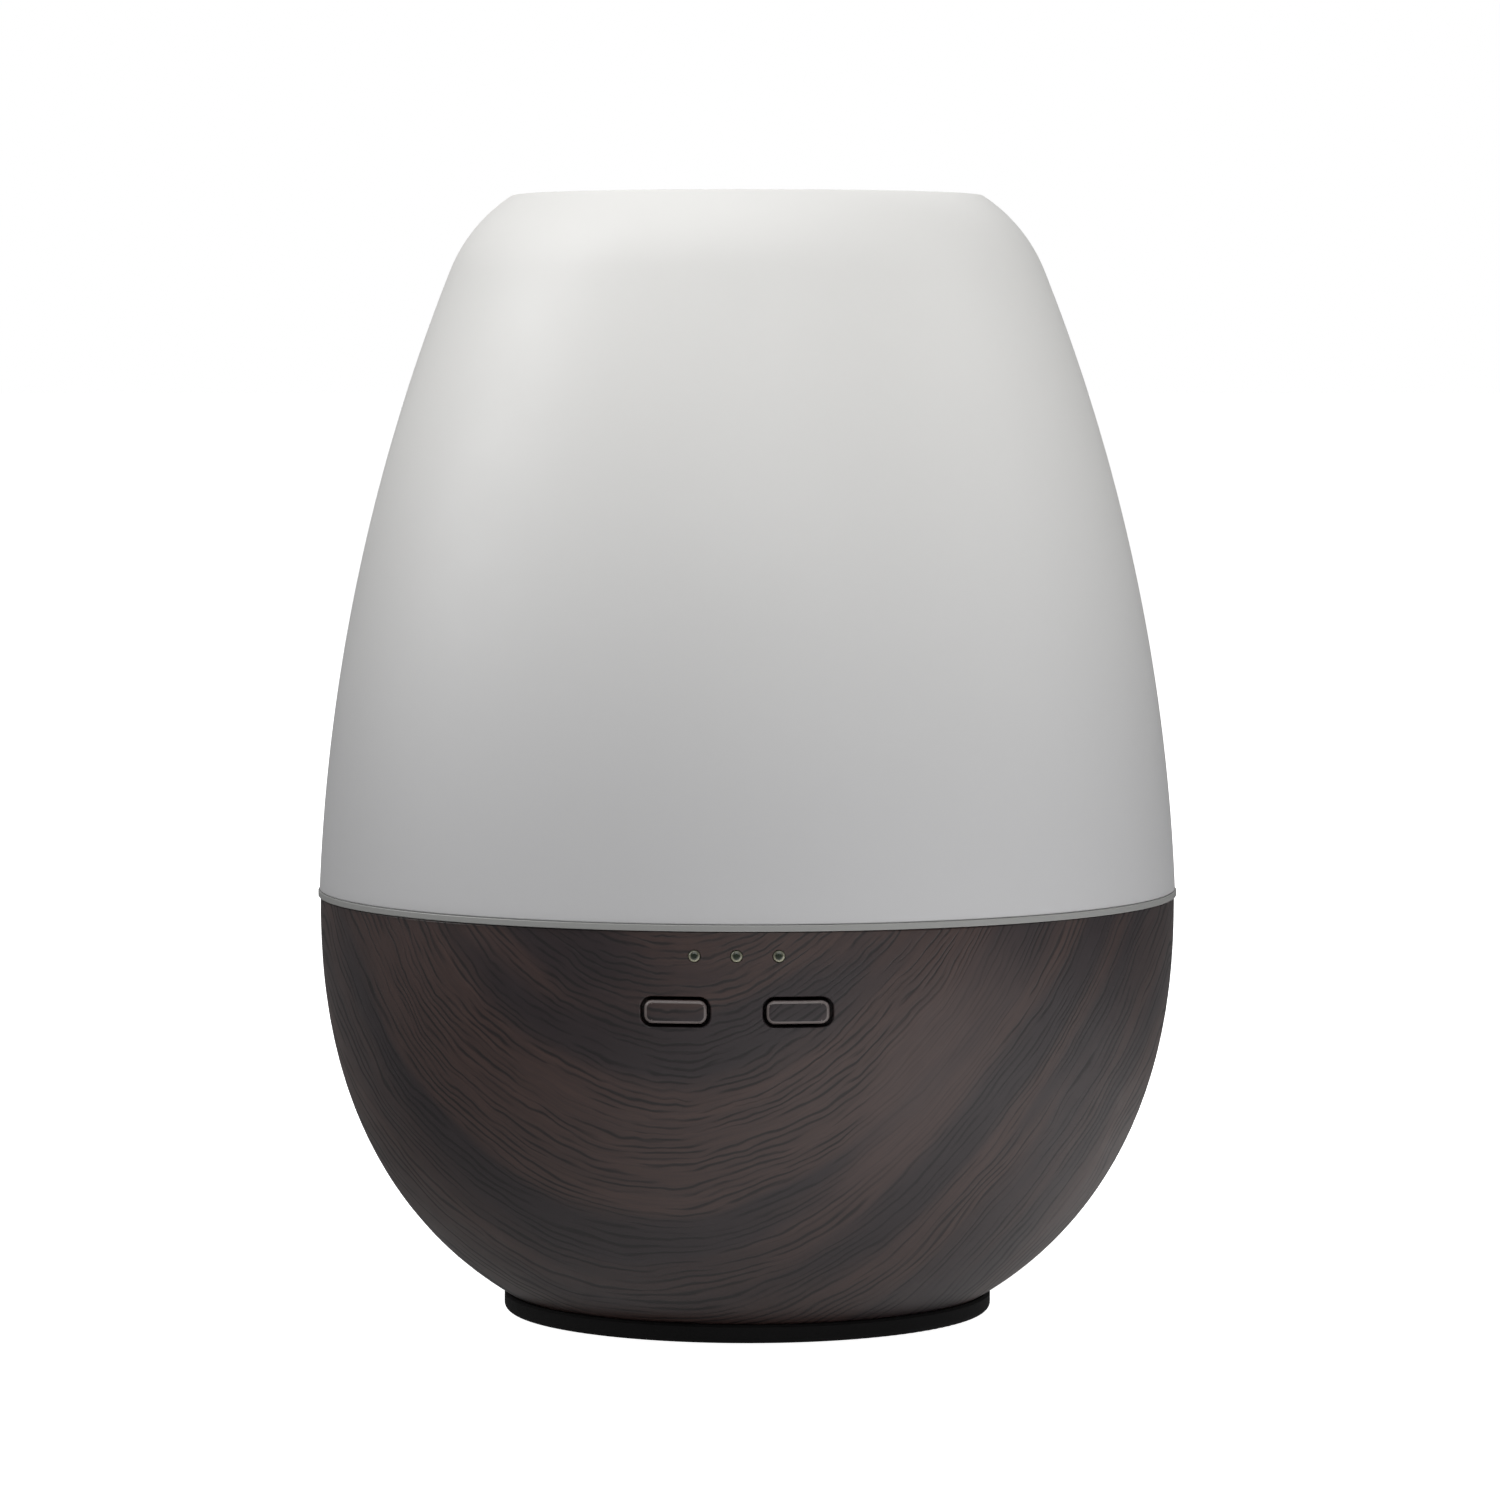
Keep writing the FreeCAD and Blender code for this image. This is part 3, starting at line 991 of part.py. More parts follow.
def board_screws():
    one = screw(SMALL_SCREW_RADIUS, BOARD_SCREW_LENGTH)
    return [placed(one, vec(x, y, BOARD_Z)) for x, y in BOARD_POSTS]


def inductors():
    """Two drum-core coils: a wound waist between two flanges."""
    coils = []
    for x in (-COIL_X, COIL_X):
        parts = [cylinder(COIL_WAIST_RADIUS, BOARD_TOP, BOARD_TOP + COIL_HEIGHT, x, COIL_Y)]
        for low in (BOARD_TOP, BOARD_TOP + COIL_HEIGHT - COIL_FLANGE):
            parts.append(cylinder(COIL_RADIUS, low, low + COIL_FLANGE, x, COIL_Y))
        coils.append(join(*parts))
    return coils


def capacitors():
    cans = []
    top = BOARD_TOP + CAN_HEIGHT
    for x in (-CAN_X, CAN_X):
        can = cylinder(CAN_RADIUS, BOARD_TOP, top, x, CAN_Y)
        cans.append(can.makeFillet(CAN_ROUND, ring_edges(can, CAN_RADIUS, top)))
    return cans


def heat_sink():
    """Upright plate with fins towards the fan."""
    top = BOARD_TOP + SINK_HEIGHT
    parts = [block(-SINK_WIDTH / 2, SINK_WIDTH / 2, SINK_Y, SINK_Y + SINK_PLATE, BOARD_TOP, top)]
    pitch = (SINK_WIDTH - SINK_FIN_THICK) / (SINK_FINS - 1)
    for i in range(SINK_FINS):
        x = pitch * i - SINK_WIDTH / 2
        parts.append(block(x, x + SINK_FIN_THICK, SINK_Y - SINK_FIN_DEPTH, SINK_Y + SMALL, BOARD_TOP, top))
    return join(*parts)


def power_transistor():
    """Tab against the sink, moulded body behind it and three legs into the board."""
    half = TRANSISTOR_WIDTH / 2
    low = BOARD_TOP + TRANSISTOR_RISE
    face = SINK_Y + SINK_PLATE
    body_y = face + TRANSISTOR_TAB
    leg_y = body_y + LEG_THICK
    tab = block(-half, half, face, body_y, low, low + TRANSISTOR_HEIGHT)
    body = block(-half, half, body_y, body_y + TRANSISTOR_BODY_DEPTH, low, low + TRANSISTOR_BODY_HEIGHT)
    legs = []
    for i in (-1, 0, 1):
        x = i * LEG_PITCH
        legs.append(block(x - LEG_WIDTH / 2, x + LEG_WIDTH / 2, leg_y, leg_y + LEG_THICK,
                          BOARD_TOP, low + SMALL))
    return join(tab, body, *legs)


def controller_chip():
    return block(CHIP_X - CHIP_LENGTH / 2, CHIP_X + CHIP_LENGTH / 2, CHIP_Y - CHIP_WIDTH / 2,
                 CHIP_Y + CHIP_WIDTH / 2, BOARD_TOP, BOARD_TOP + CHIP_THICK)


def board_connectors():
    plugs = []
    for x, y in BOARD_PLUGS:
        plugs.append(block(x - PLUG_WIDTH / 2, x + PLUG_WIDTH / 2, y - PLUG_DEPTH / 2, y + PLUG_DEPTH / 2,
                           BOARD_TOP, BOARD_TOP + PLUG_HEIGHT))
    return plugs


def dc_jack():
    """Power socket: a block on the board's rear edge with a bore and a centre pin."""
    half = JACK_WIDTH / 2
    body = block(-half, half, JACK_FACE_Y - JACK_LENGTH, JACK_FACE_Y, BOARD_TOP, BOARD_TOP + JACK_HEIGHT)
    bottom = JACK_FACE_Y - JACK_BORE_DEPTH
    body = body.cut(rod_along_y(JACK_BORE_RADIUS, bottom, JACK_FACE_Y + 1, 0, JACK_Z))
    pin = rod_along_y(JACK_PIN_RADIUS, bottom - 1, JACK_FACE_Y - JACK_PIN_DEPTH, 0, JACK_Z)
    return body.fuse(pin).removeSplitter()


# ---- Leads: round cables of straight runs and tangent arcs ---------------------------------------------
LEAD_RADIUS = 0.8


def lead(name, points):
    """Cable through hand-chosen points; each arc takes 0.45 of its shorter run."""
    points = [vec(*p) for p in points]
    edges = []
    radii = []
    start = points[0]
    for before, corner, after in zip(points, points[1:], points[2:]):
        way_in = (corner - before).normalize()
        way_out = (after - corner).normalize()
        cut = 0.45 * min(before.distanceToPoint(corner), corner.distanceToPoint(after))
        half_turn = way_in.getAngle(way_out) / 2
        radius = cut / math.tan(half_turn)
        inward = (way_out - way_in).normalize()
        arc_start = corner - way_in * cut
        arc_end = corner + way_out * cut
        middle = corner + inward * (radius / math.cos(half_turn) - radius)
        edges.append(Part.makeLine(start, arc_start))
        edges.append(Part.Arc(arc_start, middle, arc_end).toShape())
        radii.append(radius)
        start = arc_end
    edges.append(Part.makeLine(start, points[-1]))
    path = Part.Wire(edges)
    first = points[1] - points[0]
    section = Part.Wire(Part.makeCircle(LEAD_RADIUS, points[0], first))
    cable = path.makePipeShell([section], True, False)
    expected = math.pi * LEAD_RADIUS ** 2 * path.Length
    bends = ", ".join(f"{radius:.1f}" for radius in radii)
    print(f"{name}: length {path.Length:.1f}, bends {bends}, volume share {cable.Volume / expected:.4f}")
    return cable


def transducer_lead():
    x, y = BOARD_PLUGS[0]
    return lead("transducer_lead", [(0, 2, SEAL_MIDDLE - DISC_THICK / 2), (0, 2, 23.4), (3, 5.2, 21.6),
                                    (7.4, 10, 21.8), (x, y, 20.6), (x, y, BOARD_TOP + PLUG_HEIGHT)])


def fan_lead():
    x, y = BOARD_PLUGS[1]
    return lead("fan_lead", [(-3, FAN_Y + 3, FAN_TOP), (-3, FAN_Y + 3, 18.4), (-4.6, -7, 20.8),
                             (-7.4, 0, 21.8), (-9.6, 6, 21.6), (x, y, 20.4), (x, y, BOARD_TOP + PLUG_HEIGHT)])


def key_lead():
    x, y = BOARD_PLUGS[2]
    return lead("key_lead", [(0, KEY_FACE_Y - 1.5, KEY_PLUG_LOW), (0, KEY_FACE_Y - 1.5, 50), (2.4, -65.6, 39),
                             (8.4, -57, 29.5), (16.2, -45, 23.4), (21.4, -31, 21.2), (22.8, -15, 20.6),
                             (22.2, -2, 21.4), (20, 8, 22.2), (x, y, 20.8), (x, y, BOARD_TOP + PLUG_HEIGHT)])


def light_lead():
    x, y = BOARD_PLUGS[3]
    turn = on_circle(LIGHT_PITCH_RADIUS, 241)
    return lead("light_lead", [(*turn, LIGHT_LOW), (*turn, 58), (-33, -58, 45), (-31.4, -51.6, 33.4),
                               (-27.8, -41.6, 25.4), (-24, -28.6, 22), (-22.8, -14, 21), (-22.2, -1, 21.8),
                               (-20, 10, 22.4), (x, y, 20.8), (x, y, BOARD_TOP + PLUG_HEIGHT)])


# ---- Write every node ----------------------------------------------------------------------------------
def main():
    os.makedirs("parts", exist_ok=True)
    single = (base_shell, bottom_cover, water_tank, air_duct, level_probe, transducer_disc, transducer_seal,
              transducer_clamp, cover_dome, mist_chimney, key_board, key_connector, light_pipe, light_board,
              fan_frame, fan_bearing, fan_stator, fan_impeller, rotor_magnet, fan_shaft, main_board,
              heat_sink, power_transistor, controller_chip, dc_jack, transducer_lead, fan_lead, key_lead,
              light_lead)
    groups = (rubber_feet, foot_screws, clamp_screws, key_switches, key_screws, indicator_leds, light_screws,
              light_leds, fan_screws, board_screws, inductors, capacitors, board_connectors)
    for maker in single:
        export(maker.__name__, maker())
    for maker in groups:
        export(maker.__name__, *maker())
    for side, name in ((-1, "mist"), (1, "light")):
        export(f"{name}_button", button(side))
        export(f"{name}_plunger", plunger(side))


main()
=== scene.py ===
# %% [markdown]
# # A cool mist humidifier
# The CAD model already holds every part at its real size and place. This lesson gives those parts their
# finishes and models again, with finer surfaces, the ones that a hand or an eye meets first: the frosted
# dome, the mist outlet, the two buttons and the three indicator lenses. The first cell brings the CAD
# parts in. They stay where they are, and only their materials change.

# %% Load the CAD parts
import math

import bmesh
import bpy
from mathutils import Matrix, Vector


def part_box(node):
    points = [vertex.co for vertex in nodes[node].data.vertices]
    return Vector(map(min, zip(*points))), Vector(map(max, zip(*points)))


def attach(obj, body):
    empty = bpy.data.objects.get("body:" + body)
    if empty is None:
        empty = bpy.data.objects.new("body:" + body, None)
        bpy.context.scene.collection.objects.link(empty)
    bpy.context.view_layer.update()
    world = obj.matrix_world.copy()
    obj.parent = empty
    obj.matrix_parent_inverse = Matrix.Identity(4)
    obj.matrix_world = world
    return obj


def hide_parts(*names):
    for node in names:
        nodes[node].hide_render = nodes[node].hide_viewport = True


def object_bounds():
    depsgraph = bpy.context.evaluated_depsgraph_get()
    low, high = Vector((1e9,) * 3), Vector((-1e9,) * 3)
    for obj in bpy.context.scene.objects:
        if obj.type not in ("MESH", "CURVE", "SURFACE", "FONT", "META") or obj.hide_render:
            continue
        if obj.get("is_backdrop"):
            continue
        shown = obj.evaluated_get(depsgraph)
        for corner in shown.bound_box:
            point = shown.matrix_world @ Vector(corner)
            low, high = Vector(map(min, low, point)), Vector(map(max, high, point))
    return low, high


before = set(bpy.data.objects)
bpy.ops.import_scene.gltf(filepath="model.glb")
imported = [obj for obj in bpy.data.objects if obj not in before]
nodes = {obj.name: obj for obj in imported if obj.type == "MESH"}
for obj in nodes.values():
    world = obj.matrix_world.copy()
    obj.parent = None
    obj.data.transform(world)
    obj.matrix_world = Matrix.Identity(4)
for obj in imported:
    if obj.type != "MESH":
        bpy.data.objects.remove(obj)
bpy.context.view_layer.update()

MM = 0.001

# %% [markdown]
# ## Small tools for modelling by operator
# Blender's edit operators act on whatever is selected, so each piece starts by letting go of everything
# else. Selecting by place or by normal does in code what box select does by hand.


# %% Selecting and starting a piece
def let_go():
    """Back to object mode with nothing selected."""
    if bpy.context.object and bpy.context.object.mode != "OBJECT":
        bpy.ops.object.mode_set(mode="OBJECT")
    bpy.ops.object.select_all(action="DESELECT")


def choose(piece):
    """Makes this piece the only one selected, and the active one."""
    let_go()
    bpy.context.view_layer.objects.active = piece
    piece.select_set(True)


def new_piece(name, add, **size):
    """Adds a primitive with nothing else selected, names it and puts its place into its mesh."""
    let_go()
    add(**size)
    piece = bpy.context.object
    piece.name = name
    piece.data.name = name
    bpy.ops.object.transform_apply(location=True, rotation=True, scale=True)
    return piece


def edit():
    bpy.ops.object.mode_set(mode="EDIT")


def done_editing():
    bpy.ops.object.mode_set(mode="OBJECT")


def pick(kind, wanted):
    """In edit mode, selects only the verts, edges or faces for which wanted is true."""
    mesh = bpy.context.object.data
    bpy.ops.mesh.select_mode(type={"verts": "VERT", "edges": "EDGE", "faces": "FACE"}[kind])
    bpy.ops.mesh.select_all(action="DESELECT")
    work = bmesh.from_edit_mesh(mesh)
    work.normal_update()
    found = [item for item in getattr(work, kind) if wanted(item)]
    for item in found:
        item.select_set(True)
    work.select_flush_mode()
    bmesh.update_edit_mesh(mesh)


def apply_modifier(piece, kind, **settings):
    """Adds a modifier with these settings and applies it at once."""
    choose(piece)
    modifier = piece.modifiers.new(kind.title(), kind)
    for setting, value in settings.items():
        setattr(modifier, setting, value)
    bpy.ops.object.modifier_apply(modifier=modifier.name)


def smooth(piece, degrees):
    """Smooth shading, with edges sharper than this angle kept crisp."""
    choose(piece)
    bpy.ops.object.shade_smooth_by_angle(angle=math.radians(degrees))


# %% [markdown]
# ## Turned pieces
# The dome and the outlet are round about the vertical axis, so half of their section says all of their
# shape. A potter's wheel does the same. The section is drawn by extruding one vertex from point to point,
# and the spin operator turns it. Drawing both faces of the wall in one closed section gives the wall its
# true thickness everywhere, which a Solidify modifier only does roughly at sharp corners.


# %% Drawing a section and turning it
WELD = 0.001 * MM     # vertices closer than this become one


def arc(centre, radius, start, end, steps):
    """Points on an arc, angles in degrees from the radial direction towards up."""
    angles = [math.radians(start + (end - start) * i / steps) for i in range(steps + 1)]
    return [(centre[0] + radius * math.cos(a), centre[1] + radius * math.sin(a)) for a in angles]


def rounded(before, corner, after, radius, steps=5):
    """Points that round a section's corner between two straight runs."""
    into = Vector(before) - Vector(corner)
    out = Vector(after) - Vector(corner)
    half = into.angle(out) / 2
    centre = Vector(corner) + (into.normalized() + out.normalized()).normalized() * radius / math.sin(half)
    reach = radius / math.tan(half)
    first = (Vector(corner) + into.normalized() * reach - centre).normalized()
    last = (Vector(corner) + out.normalized() * reach - centre).normalized()
    return [tuple(centre + first.slerp(last, i / steps) * radius) for i in range(steps + 1)]


def turned(name, section, steps):
    """Turns a closed section of (radius, height) points, in millimetres, about the Z axis."""
    piece = new_piece(name, bpy.ops.mesh.primitive_plane_add, size=MM)
    edit()
    bpy.ops.mesh.merge(type="CENTER")
    here = Vector((0, 0, 0))
    for number, (radius, height) in enumerate(section + section[:1]):
        point = Vector((radius, 0, height)) * MM
        if number == 0:
            bpy.ops.transform.translate(value=point - here)
        else:
            bpy.ops.mesh.extrude_region_move(TRANSFORM_OT_translate={"value": point - here})
        here = point
    bpy.ops.mesh.select_all(action="SELECT")
    bpy.ops.mesh.remove_doubles(threshold=WELD)
    bpy.ops.mesh.spin(steps=steps, angle=2 * math.pi, center=(0, 0, 0), axis=(0, 0, 1))
    bpy.ops.mesh.select_all(action="SELECT")
    bpy.ops.mesh.remove_doubles(threshold=WELD)
    bpy.ops.mesh.normals_make_consistent(inside=False)
    done_editing()
    print(name, len(piece.data.polygons), "faces")
    return piece


# %% [markdown]
# ## The frosted dome
# It is one moulding of milky polypropylene: a nearly straight side that leans in, a round shoulder, a
# flat rim and a shallow dish with a hole for the mist. Two arcs that touch without a kink make side and
# shoulder. A kink there would show at once, because a frosted surface shades so evenly.

# %% The dome's section
FLANGE_TOP = 76.9            # the dome stands on the tank's flange here
DOME_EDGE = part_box("cover_dome")[1].x / MM
DOME_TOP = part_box("cover_dome")[1].z / MM
SIDE_CENTRE_HEIGHT = 63.0    # where the side's arc would stand upright
SHOULDER = (53.1, 187.3)     # radius and height at which the side goes over into the shoulder
RIM_EDGE = 41.9
RIM_ROUND = 1.5
SIDE_STEPS = 60
SHOULDER_STEPS = 16
RIM_STEPS = 8
STRAIGHT_UP = 90

edge_up = FLANGE_TOP - SIDE_CENTRE_HEIGHT
shoulder_up = SHOULDER[1] - SIDE_CENTRE_HEIGHT
side_centre = ((DOME_EDGE ** 2 + edge_up ** 2 - SHOULDER[0] ** 2 - shoulder_up ** 2)
               / (2 * (DOME_EDGE - SHOULDER[0])), SIDE_CENTRE_HEIGHT)
side_radius = math.hypot(DOME_EDGE - side_centre[0], edge_up)
lean = Vector((SHOULDER[0] - side_centre[0], shoulder_up)).normalized()
chord = Vector((RIM_EDGE - SHOULDER[0], DOME_TOP - SHOULDER[1]))
shoulder_radius = -chord.length_squared / (2 * chord.dot(lean))
shoulder_centre = (SHOULDER[0] - lean.x * shoulder_radius, SHOULDER[1] - lean.y * shoulder_radius)
rim_centre_height = DOME_TOP - RIM_ROUND - shoulder_centre[1]
rim_centre = (shoulder_centre[0] + math.sqrt((shoulder_radius - RIM_ROUND) ** 2 - rim_centre_height ** 2),
              DOME_TOP - RIM_ROUND)


def angle_at(centre, point):
    return math.degrees(math.atan2(point[1] - centre[1], point[0] - centre[0]))


lean_angle = angle_at((0, 0), lean)
rim_angle = angle_at(shoulder_centre, rim_centre)
low_angle = angle_at(side_centre, (DOME_EDGE, FLANGE_TOP))
outside = arc(side_centre, side_radius, low_angle, lean_angle, SIDE_STEPS)
outside += arc(shoulder_centre, shoulder_radius, lean_angle, rim_angle, SHOULDER_STEPS)[1:]
outside += arc(rim_centre, RIM_ROUND, rim_angle, STRAIGHT_UP, RIM_STEPS)[1:]
print("side radius", round(side_radius, 1), "shoulder radius", round(shoulder_radius, 2))

# %% [markdown]
# ## The dish and the wall
# The dish keeps stray drops from running down the outside. Its two corners are rounded with large radii,
# which lets the top shade without a hard line. The inside of the wall follows the outside at one
# thickness: the same two centres with smaller radii give exactly that.

# %% Turning the dome
DOME_WALL = 2.2
DISH_EDGE = 38.5             # radius where the flat rim ends
DISH_FLAT = 16.0             # radius inside which the dish is flat
DISH_DEPTH = 3.2
DISH_EDGE_ROUND = 2.5
DISH_FLAT_ROUND = 8.0
DOME_HOLE = 12.35
INNER_SHOULDER_STEPS = 12
INNER_SIDE_STEPS = 40
FOOT_ROUND = 0.35
DOME_STEPS = 240
TURNED_CRISP = 40            # degrees

dish_floor = DOME_TOP - DISH_DEPTH
dish_edge = (DISH_EDGE, DOME_TOP)
dish_flat = (DISH_FLAT, dish_floor)
hole_edge = (DOME_HOLE, dish_floor)
dish = rounded((rim_centre[0], DOME_TOP), dish_edge, dish_flat, DISH_EDGE_ROUND)
dish += rounded(dish_edge, dish_flat, hole_edge, DISH_FLAT_ROUND)
dish += [hole_edge]
under_dish = [(r, z - DOME_WALL) for r, z in reversed(dish)]
inner_top = DOME_TOP - DOME_WALL
inner_shoulder = shoulder_radius - DOME_WALL
inner_rim_angle = math.degrees(math.asin((inner_top - shoulder_centre[1]) / inner_shoulder))
inner_side = side_radius - DOME_WALL
inner_low_angle = math.degrees(math.asin(edge_up / inner_side))
inside = arc(shoulder_centre, inner_shoulder, inner_rim_angle, lean_angle, INNER_SHOULDER_STEPS)
inside += arc(side_centre, inner_side, lean_angle, inner_low_angle, INNER_SIDE_STEPS)[1:]
up_the_side = outside[3]
foot = rounded(inside[-1], (DOME_EDGE, FLANGE_TOP), up_the_side, FOOT_ROUND)
dome = turned("frosted_dome", foot + outside[1:] + dish + under_dish + inside, DOME_STEPS)
smooth(dome, TURNED_CRISP)
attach(dome, "cover")
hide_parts("cover_dome")

# %% [markdown]
# ## The mist outlet
# A tapered tube hangs under the dish and its collar stands up through the hole. It is turned the same
# way. The two lips are rounded, because a moulded lip is never sharp and the small round is what catches
# the light.

# %% Turning the outlet
OUTLET_RADIUS = 11.0
COLLAR_RADIUS = 12.3
COLLAR_PROUD = 0.8
OUTLET_FLANGE = 15.5
FLANGE_THICK = 1.5
CHIMNEY_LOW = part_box("mist_chimney")[0].z / MM
MOUTH_RADIUS = 20.0
MOUTH_EDGE = 21.3
LIPS = (1, 2, 4, 5, 7, 8)    # which of the section's corners are rounded
LIP_ROUND = 0.45
OUTLET_STEPS = 128

collar_top = dish_floor + COLLAR_PROUD
flange_top = dish_floor - DOME_WALL
flange_low = flange_top - FLANGE_THICK
corners = [(OUTLET_RADIUS, flange_low), (OUTLET_RADIUS, collar_top), (COLLAR_RADIUS, collar_top),
           (COLLAR_RADIUS, flange_top), (OUTLET_FLANGE, flange_top), (OUTLET_FLANGE, flange_low),
           (COLLAR_RADIUS, flange_low), (MOUTH_EDGE, CHIMNEY_LOW), (MOUTH_RADIUS, CHIMNEY_LOW)]
chimney_section = []
for number, corner in enumerate(corners):
    if number in LIPS:
        after = corners[(number + 1) % len(corners)]
        chimney_section += rounded(corners[number - 1], corner, after, LIP_ROUND)
    else:
        chimney_section.append(corner)
outlet = turned("mist_outlet", chimney_section, OUTLET_STEPS)
smooth(outlet, TURNED_CRISP)
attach(outlet, "cover")
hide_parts("mist_chimney")

# %% [markdown]
# ## The two push buttons
# Each cap is a rounded bar whose face carries on the curve of the bowl, a little proud of it. A thin
# former is turned to the bowl's outline, and a Shrinkwrap modifier presses the cap's face onto it: as a
# maker sands a plug against a curved board. Only then is the edge of the face rounded, so the round has
# the same width all the way. Behind the shell a wider flange stops the cap from falling out.

# %% A former with the bowl's outline
SPLIT = 75.8                 # height of the bowl's upper edge
BOWL_RADIUS = 76.6
BOWL_DEPTH = 81.48
BOWL_FULLNESS = 2.32         # 2 would be an ellipse, and more is fuller
KEY_X = 10.3
KEY_HEIGHT = 62.15
FORMER_REACH = 8.0           # above and below the buttons' middle
FORMER_ROWS = 8
FORMER_THICK = 20.0
FORMER_STEPS = 360


def bowl_radius(height):
    """Outer radius of the bowl at a height, in millimetres."""
    return BOWL_RADIUS * (1 - ((SPLIT - height) / BOWL_DEPTH) ** BOWL_FULLNESS) ** (1 / BOWL_FULLNESS)


former_heights = [KEY_HEIGHT + FORMER_REACH * (i / FORMER_ROWS - 1) for i in range(2 * FORMER_ROWS + 1)]
former_face = [(bowl_radius(height), height) for height in former_heights]
former_back = [(radius - FORMER_THICK, height) for radius, height in reversed(former_face)]
former = turned("bowl_former", former_face + former_back, FORMER_STEPS)


# %% Bars, front edges and unions
SLACK = 0.01                 # millimetres allowed when a place is compared
PARALLEL = 0.01              # largest sine of the angle between two parallel directions


def rounded_bar(name, x, z, width, height, corner, front, back, segments=8):
    """A bar along Y with rounded long edges, in millimetres."""
    bar = new_piece(name, bpy.ops.mesh.primitive_cube_add, size=MM,
                    location=Vector((x, (front + back) / 2, z)) * MM, scale=(width, back - front, height))
    way = Vector((0, 1, 0))
    edit()
    pick("edges", lambda e: (e.verts[0].co - e.verts[1].co).normalized().cross(way).length < PARALLEL)
    bpy.ops.mesh.bevel(offset=corner * MM, segments=segments, affect="EDGES")
    done_editing()
    return bar


def round_front(front, radius, segments, **how):
    """Rounds the edges of the face at this Y of the piece in hand."""
    edit()
    pick("edges", lambda e: all(v.co.y < (front + SLACK) * MM for v in e.verts))
    bpy.ops.mesh.bevel(offset=radius * MM, segments=segments, affect="EDGES", **how)
    done_editing()


def rod_along_y(name, x, z, radius, front, back, sides):
    """A round rod along Y, in millimetres."""
    return new_piece(name, bpy.ops.mesh.primitive_cylinder_add, vertices=sides, radius=radius * MM,
                     depth=(back - front) * MM, rotation=(math.pi / 2, 0, 0),
                     location=Vector((x, (back + front) / 2, z)) * MM)


def join_to(piece, other):
    """Unites two overlapping solids and removes the second."""
    apply_modifier(piece, "BOOLEAN", operation="UNION", solver="EXACT", object=other)
    bpy.data.objects.remove(other)


# %% [markdown]
# ## The face of a cap
# A flat face cannot bend: it has no vertices between its edges. Bisecting the bar at even steps adds
# them, and Shrinkwrap then moves only the vertices of the front, which a vertex group names.

# %% Shaping a cap's face
CAP_WIDTH = 10.6
CAP_HEIGHT = 4.0
CAP_CORNER = 1.4
CAP_PROUD = 0.5
CAP_ROUND = 0.7
CAP_ROUND_SEGMENTS = 5
CAP_STOCK = -80.0            # the bar's front before it is pressed back
CAP_BACK = -70.7
COLUMNS_EACH_WAY = 4         # cuts at whole millimetres from the cap's middle
ROWS_AT = (-0.5, 0.5)
OFF_BACK = 1.0               # anything this far in front of the back belongs to the face


def cut_across(x):
    """Cuts the bar in hand into columns and rows."""
    edit()
    for step in range(-COLUMNS_EACH_WAY, COLUMNS_EACH_WAY + 1):
        bpy.ops.mesh.select_all(action="SELECT")
        bpy.ops.mesh.bisect(plane_co=((x + step) * MM, 0, 0), plane_no=(1, 0, 0))
    for step in ROWS_AT:
        bpy.ops.mesh.select_all(action="SELECT")
        bpy.ops.mesh.bisect(plane_co=(0, 0, (KEY_HEIGHT + step) * MM), plane_no=(0, 0, 1))
    done_editing()


def press_on_former(cap):
    """Presses the bar's front onto the former and leaves it proud by one step."""
    face = cap.vertex_groups.new(name="face")
    face.add([v.index for v in cap.data.vertices if v.co.y < (CAP_STOCK + SLACK) * MM], 1.0, "REPLACE")
    apply_modifier(cap, "SHRINKWRAP", target=former, vertex_group="face", wrap_method="PROJECT",
                   use_project_y=True, use_positive_direction=True, offset=CAP_PROUD * MM)
    cap.vertex_groups.clear()


def round_face():
    """Rounds the edges where the curved face meets the sides."""
    edit()
    pick("edges", lambda e: sorted(round(abs(f.normal.y)) for f in e.link_faces) == [0, 1]
         and e.verts[0].co.y < (CAP_BACK - OFF_BACK) * MM)
    bpy.ops.mesh.bevel(offset=CAP_ROUND * MM, segments=CAP_ROUND_SEGMENTS, profile=0.5, affect="EDGES")
    done_editing()


# %% Whole caps
KEY_FLANGE = (13.0, 7.0, 2.0)     # width, height, corner radius
KEY_FLANGE_Y = (-71.2, -70.2)
KEY_FLANGE_ROUND = 0.3
NIB_RADIUS = 1.2
NIB_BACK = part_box("mist_button")[1].y / MM
NIB_SIDES = 48
CAP_CRISP = 35               # degrees


def button_cap(name, x):
    """A cap with its face, the flange behind the shell and the nib that meets the plunger."""
    cap = rounded_bar(name, x, KEY_HEIGHT, CAP_WIDTH, CAP_HEIGHT, CAP_CORNER, CAP_STOCK, CAP_BACK)
    cut_across(x)
    press_on_former(cap)
    round_face()
    width, height, corner = KEY_FLANGE
    flange = rounded_bar("flange", x, KEY_HEIGHT, width, height, corner, *KEY_FLANGE_Y)
    round_front(KEY_FLANGE_Y[0], KEY_FLANGE_ROUND, 2)
    join_to(cap, flange)
    join_to(cap, rod_along_y("nib", x, KEY_HEIGHT, NIB_RADIUS, CAP_BACK, NIB_BACK, NIB_SIDES))
    smooth(cap, CAP_CRISP)
    return cap


caps = {name: button_cap(name + "_cap", x) for name, x in (("mist", -KEY_X), ("light", KEY_X))}
bpy.data.objects.remove(former)
for name, cap in caps.items():
    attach(cap, name + "_key")
    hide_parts(name + "_button")
    front = min(v.co.y for v in cap.data.vertices) / MM
    print(cap.name, len(cap.data.polygons), "faces, front at", round(front, 2))

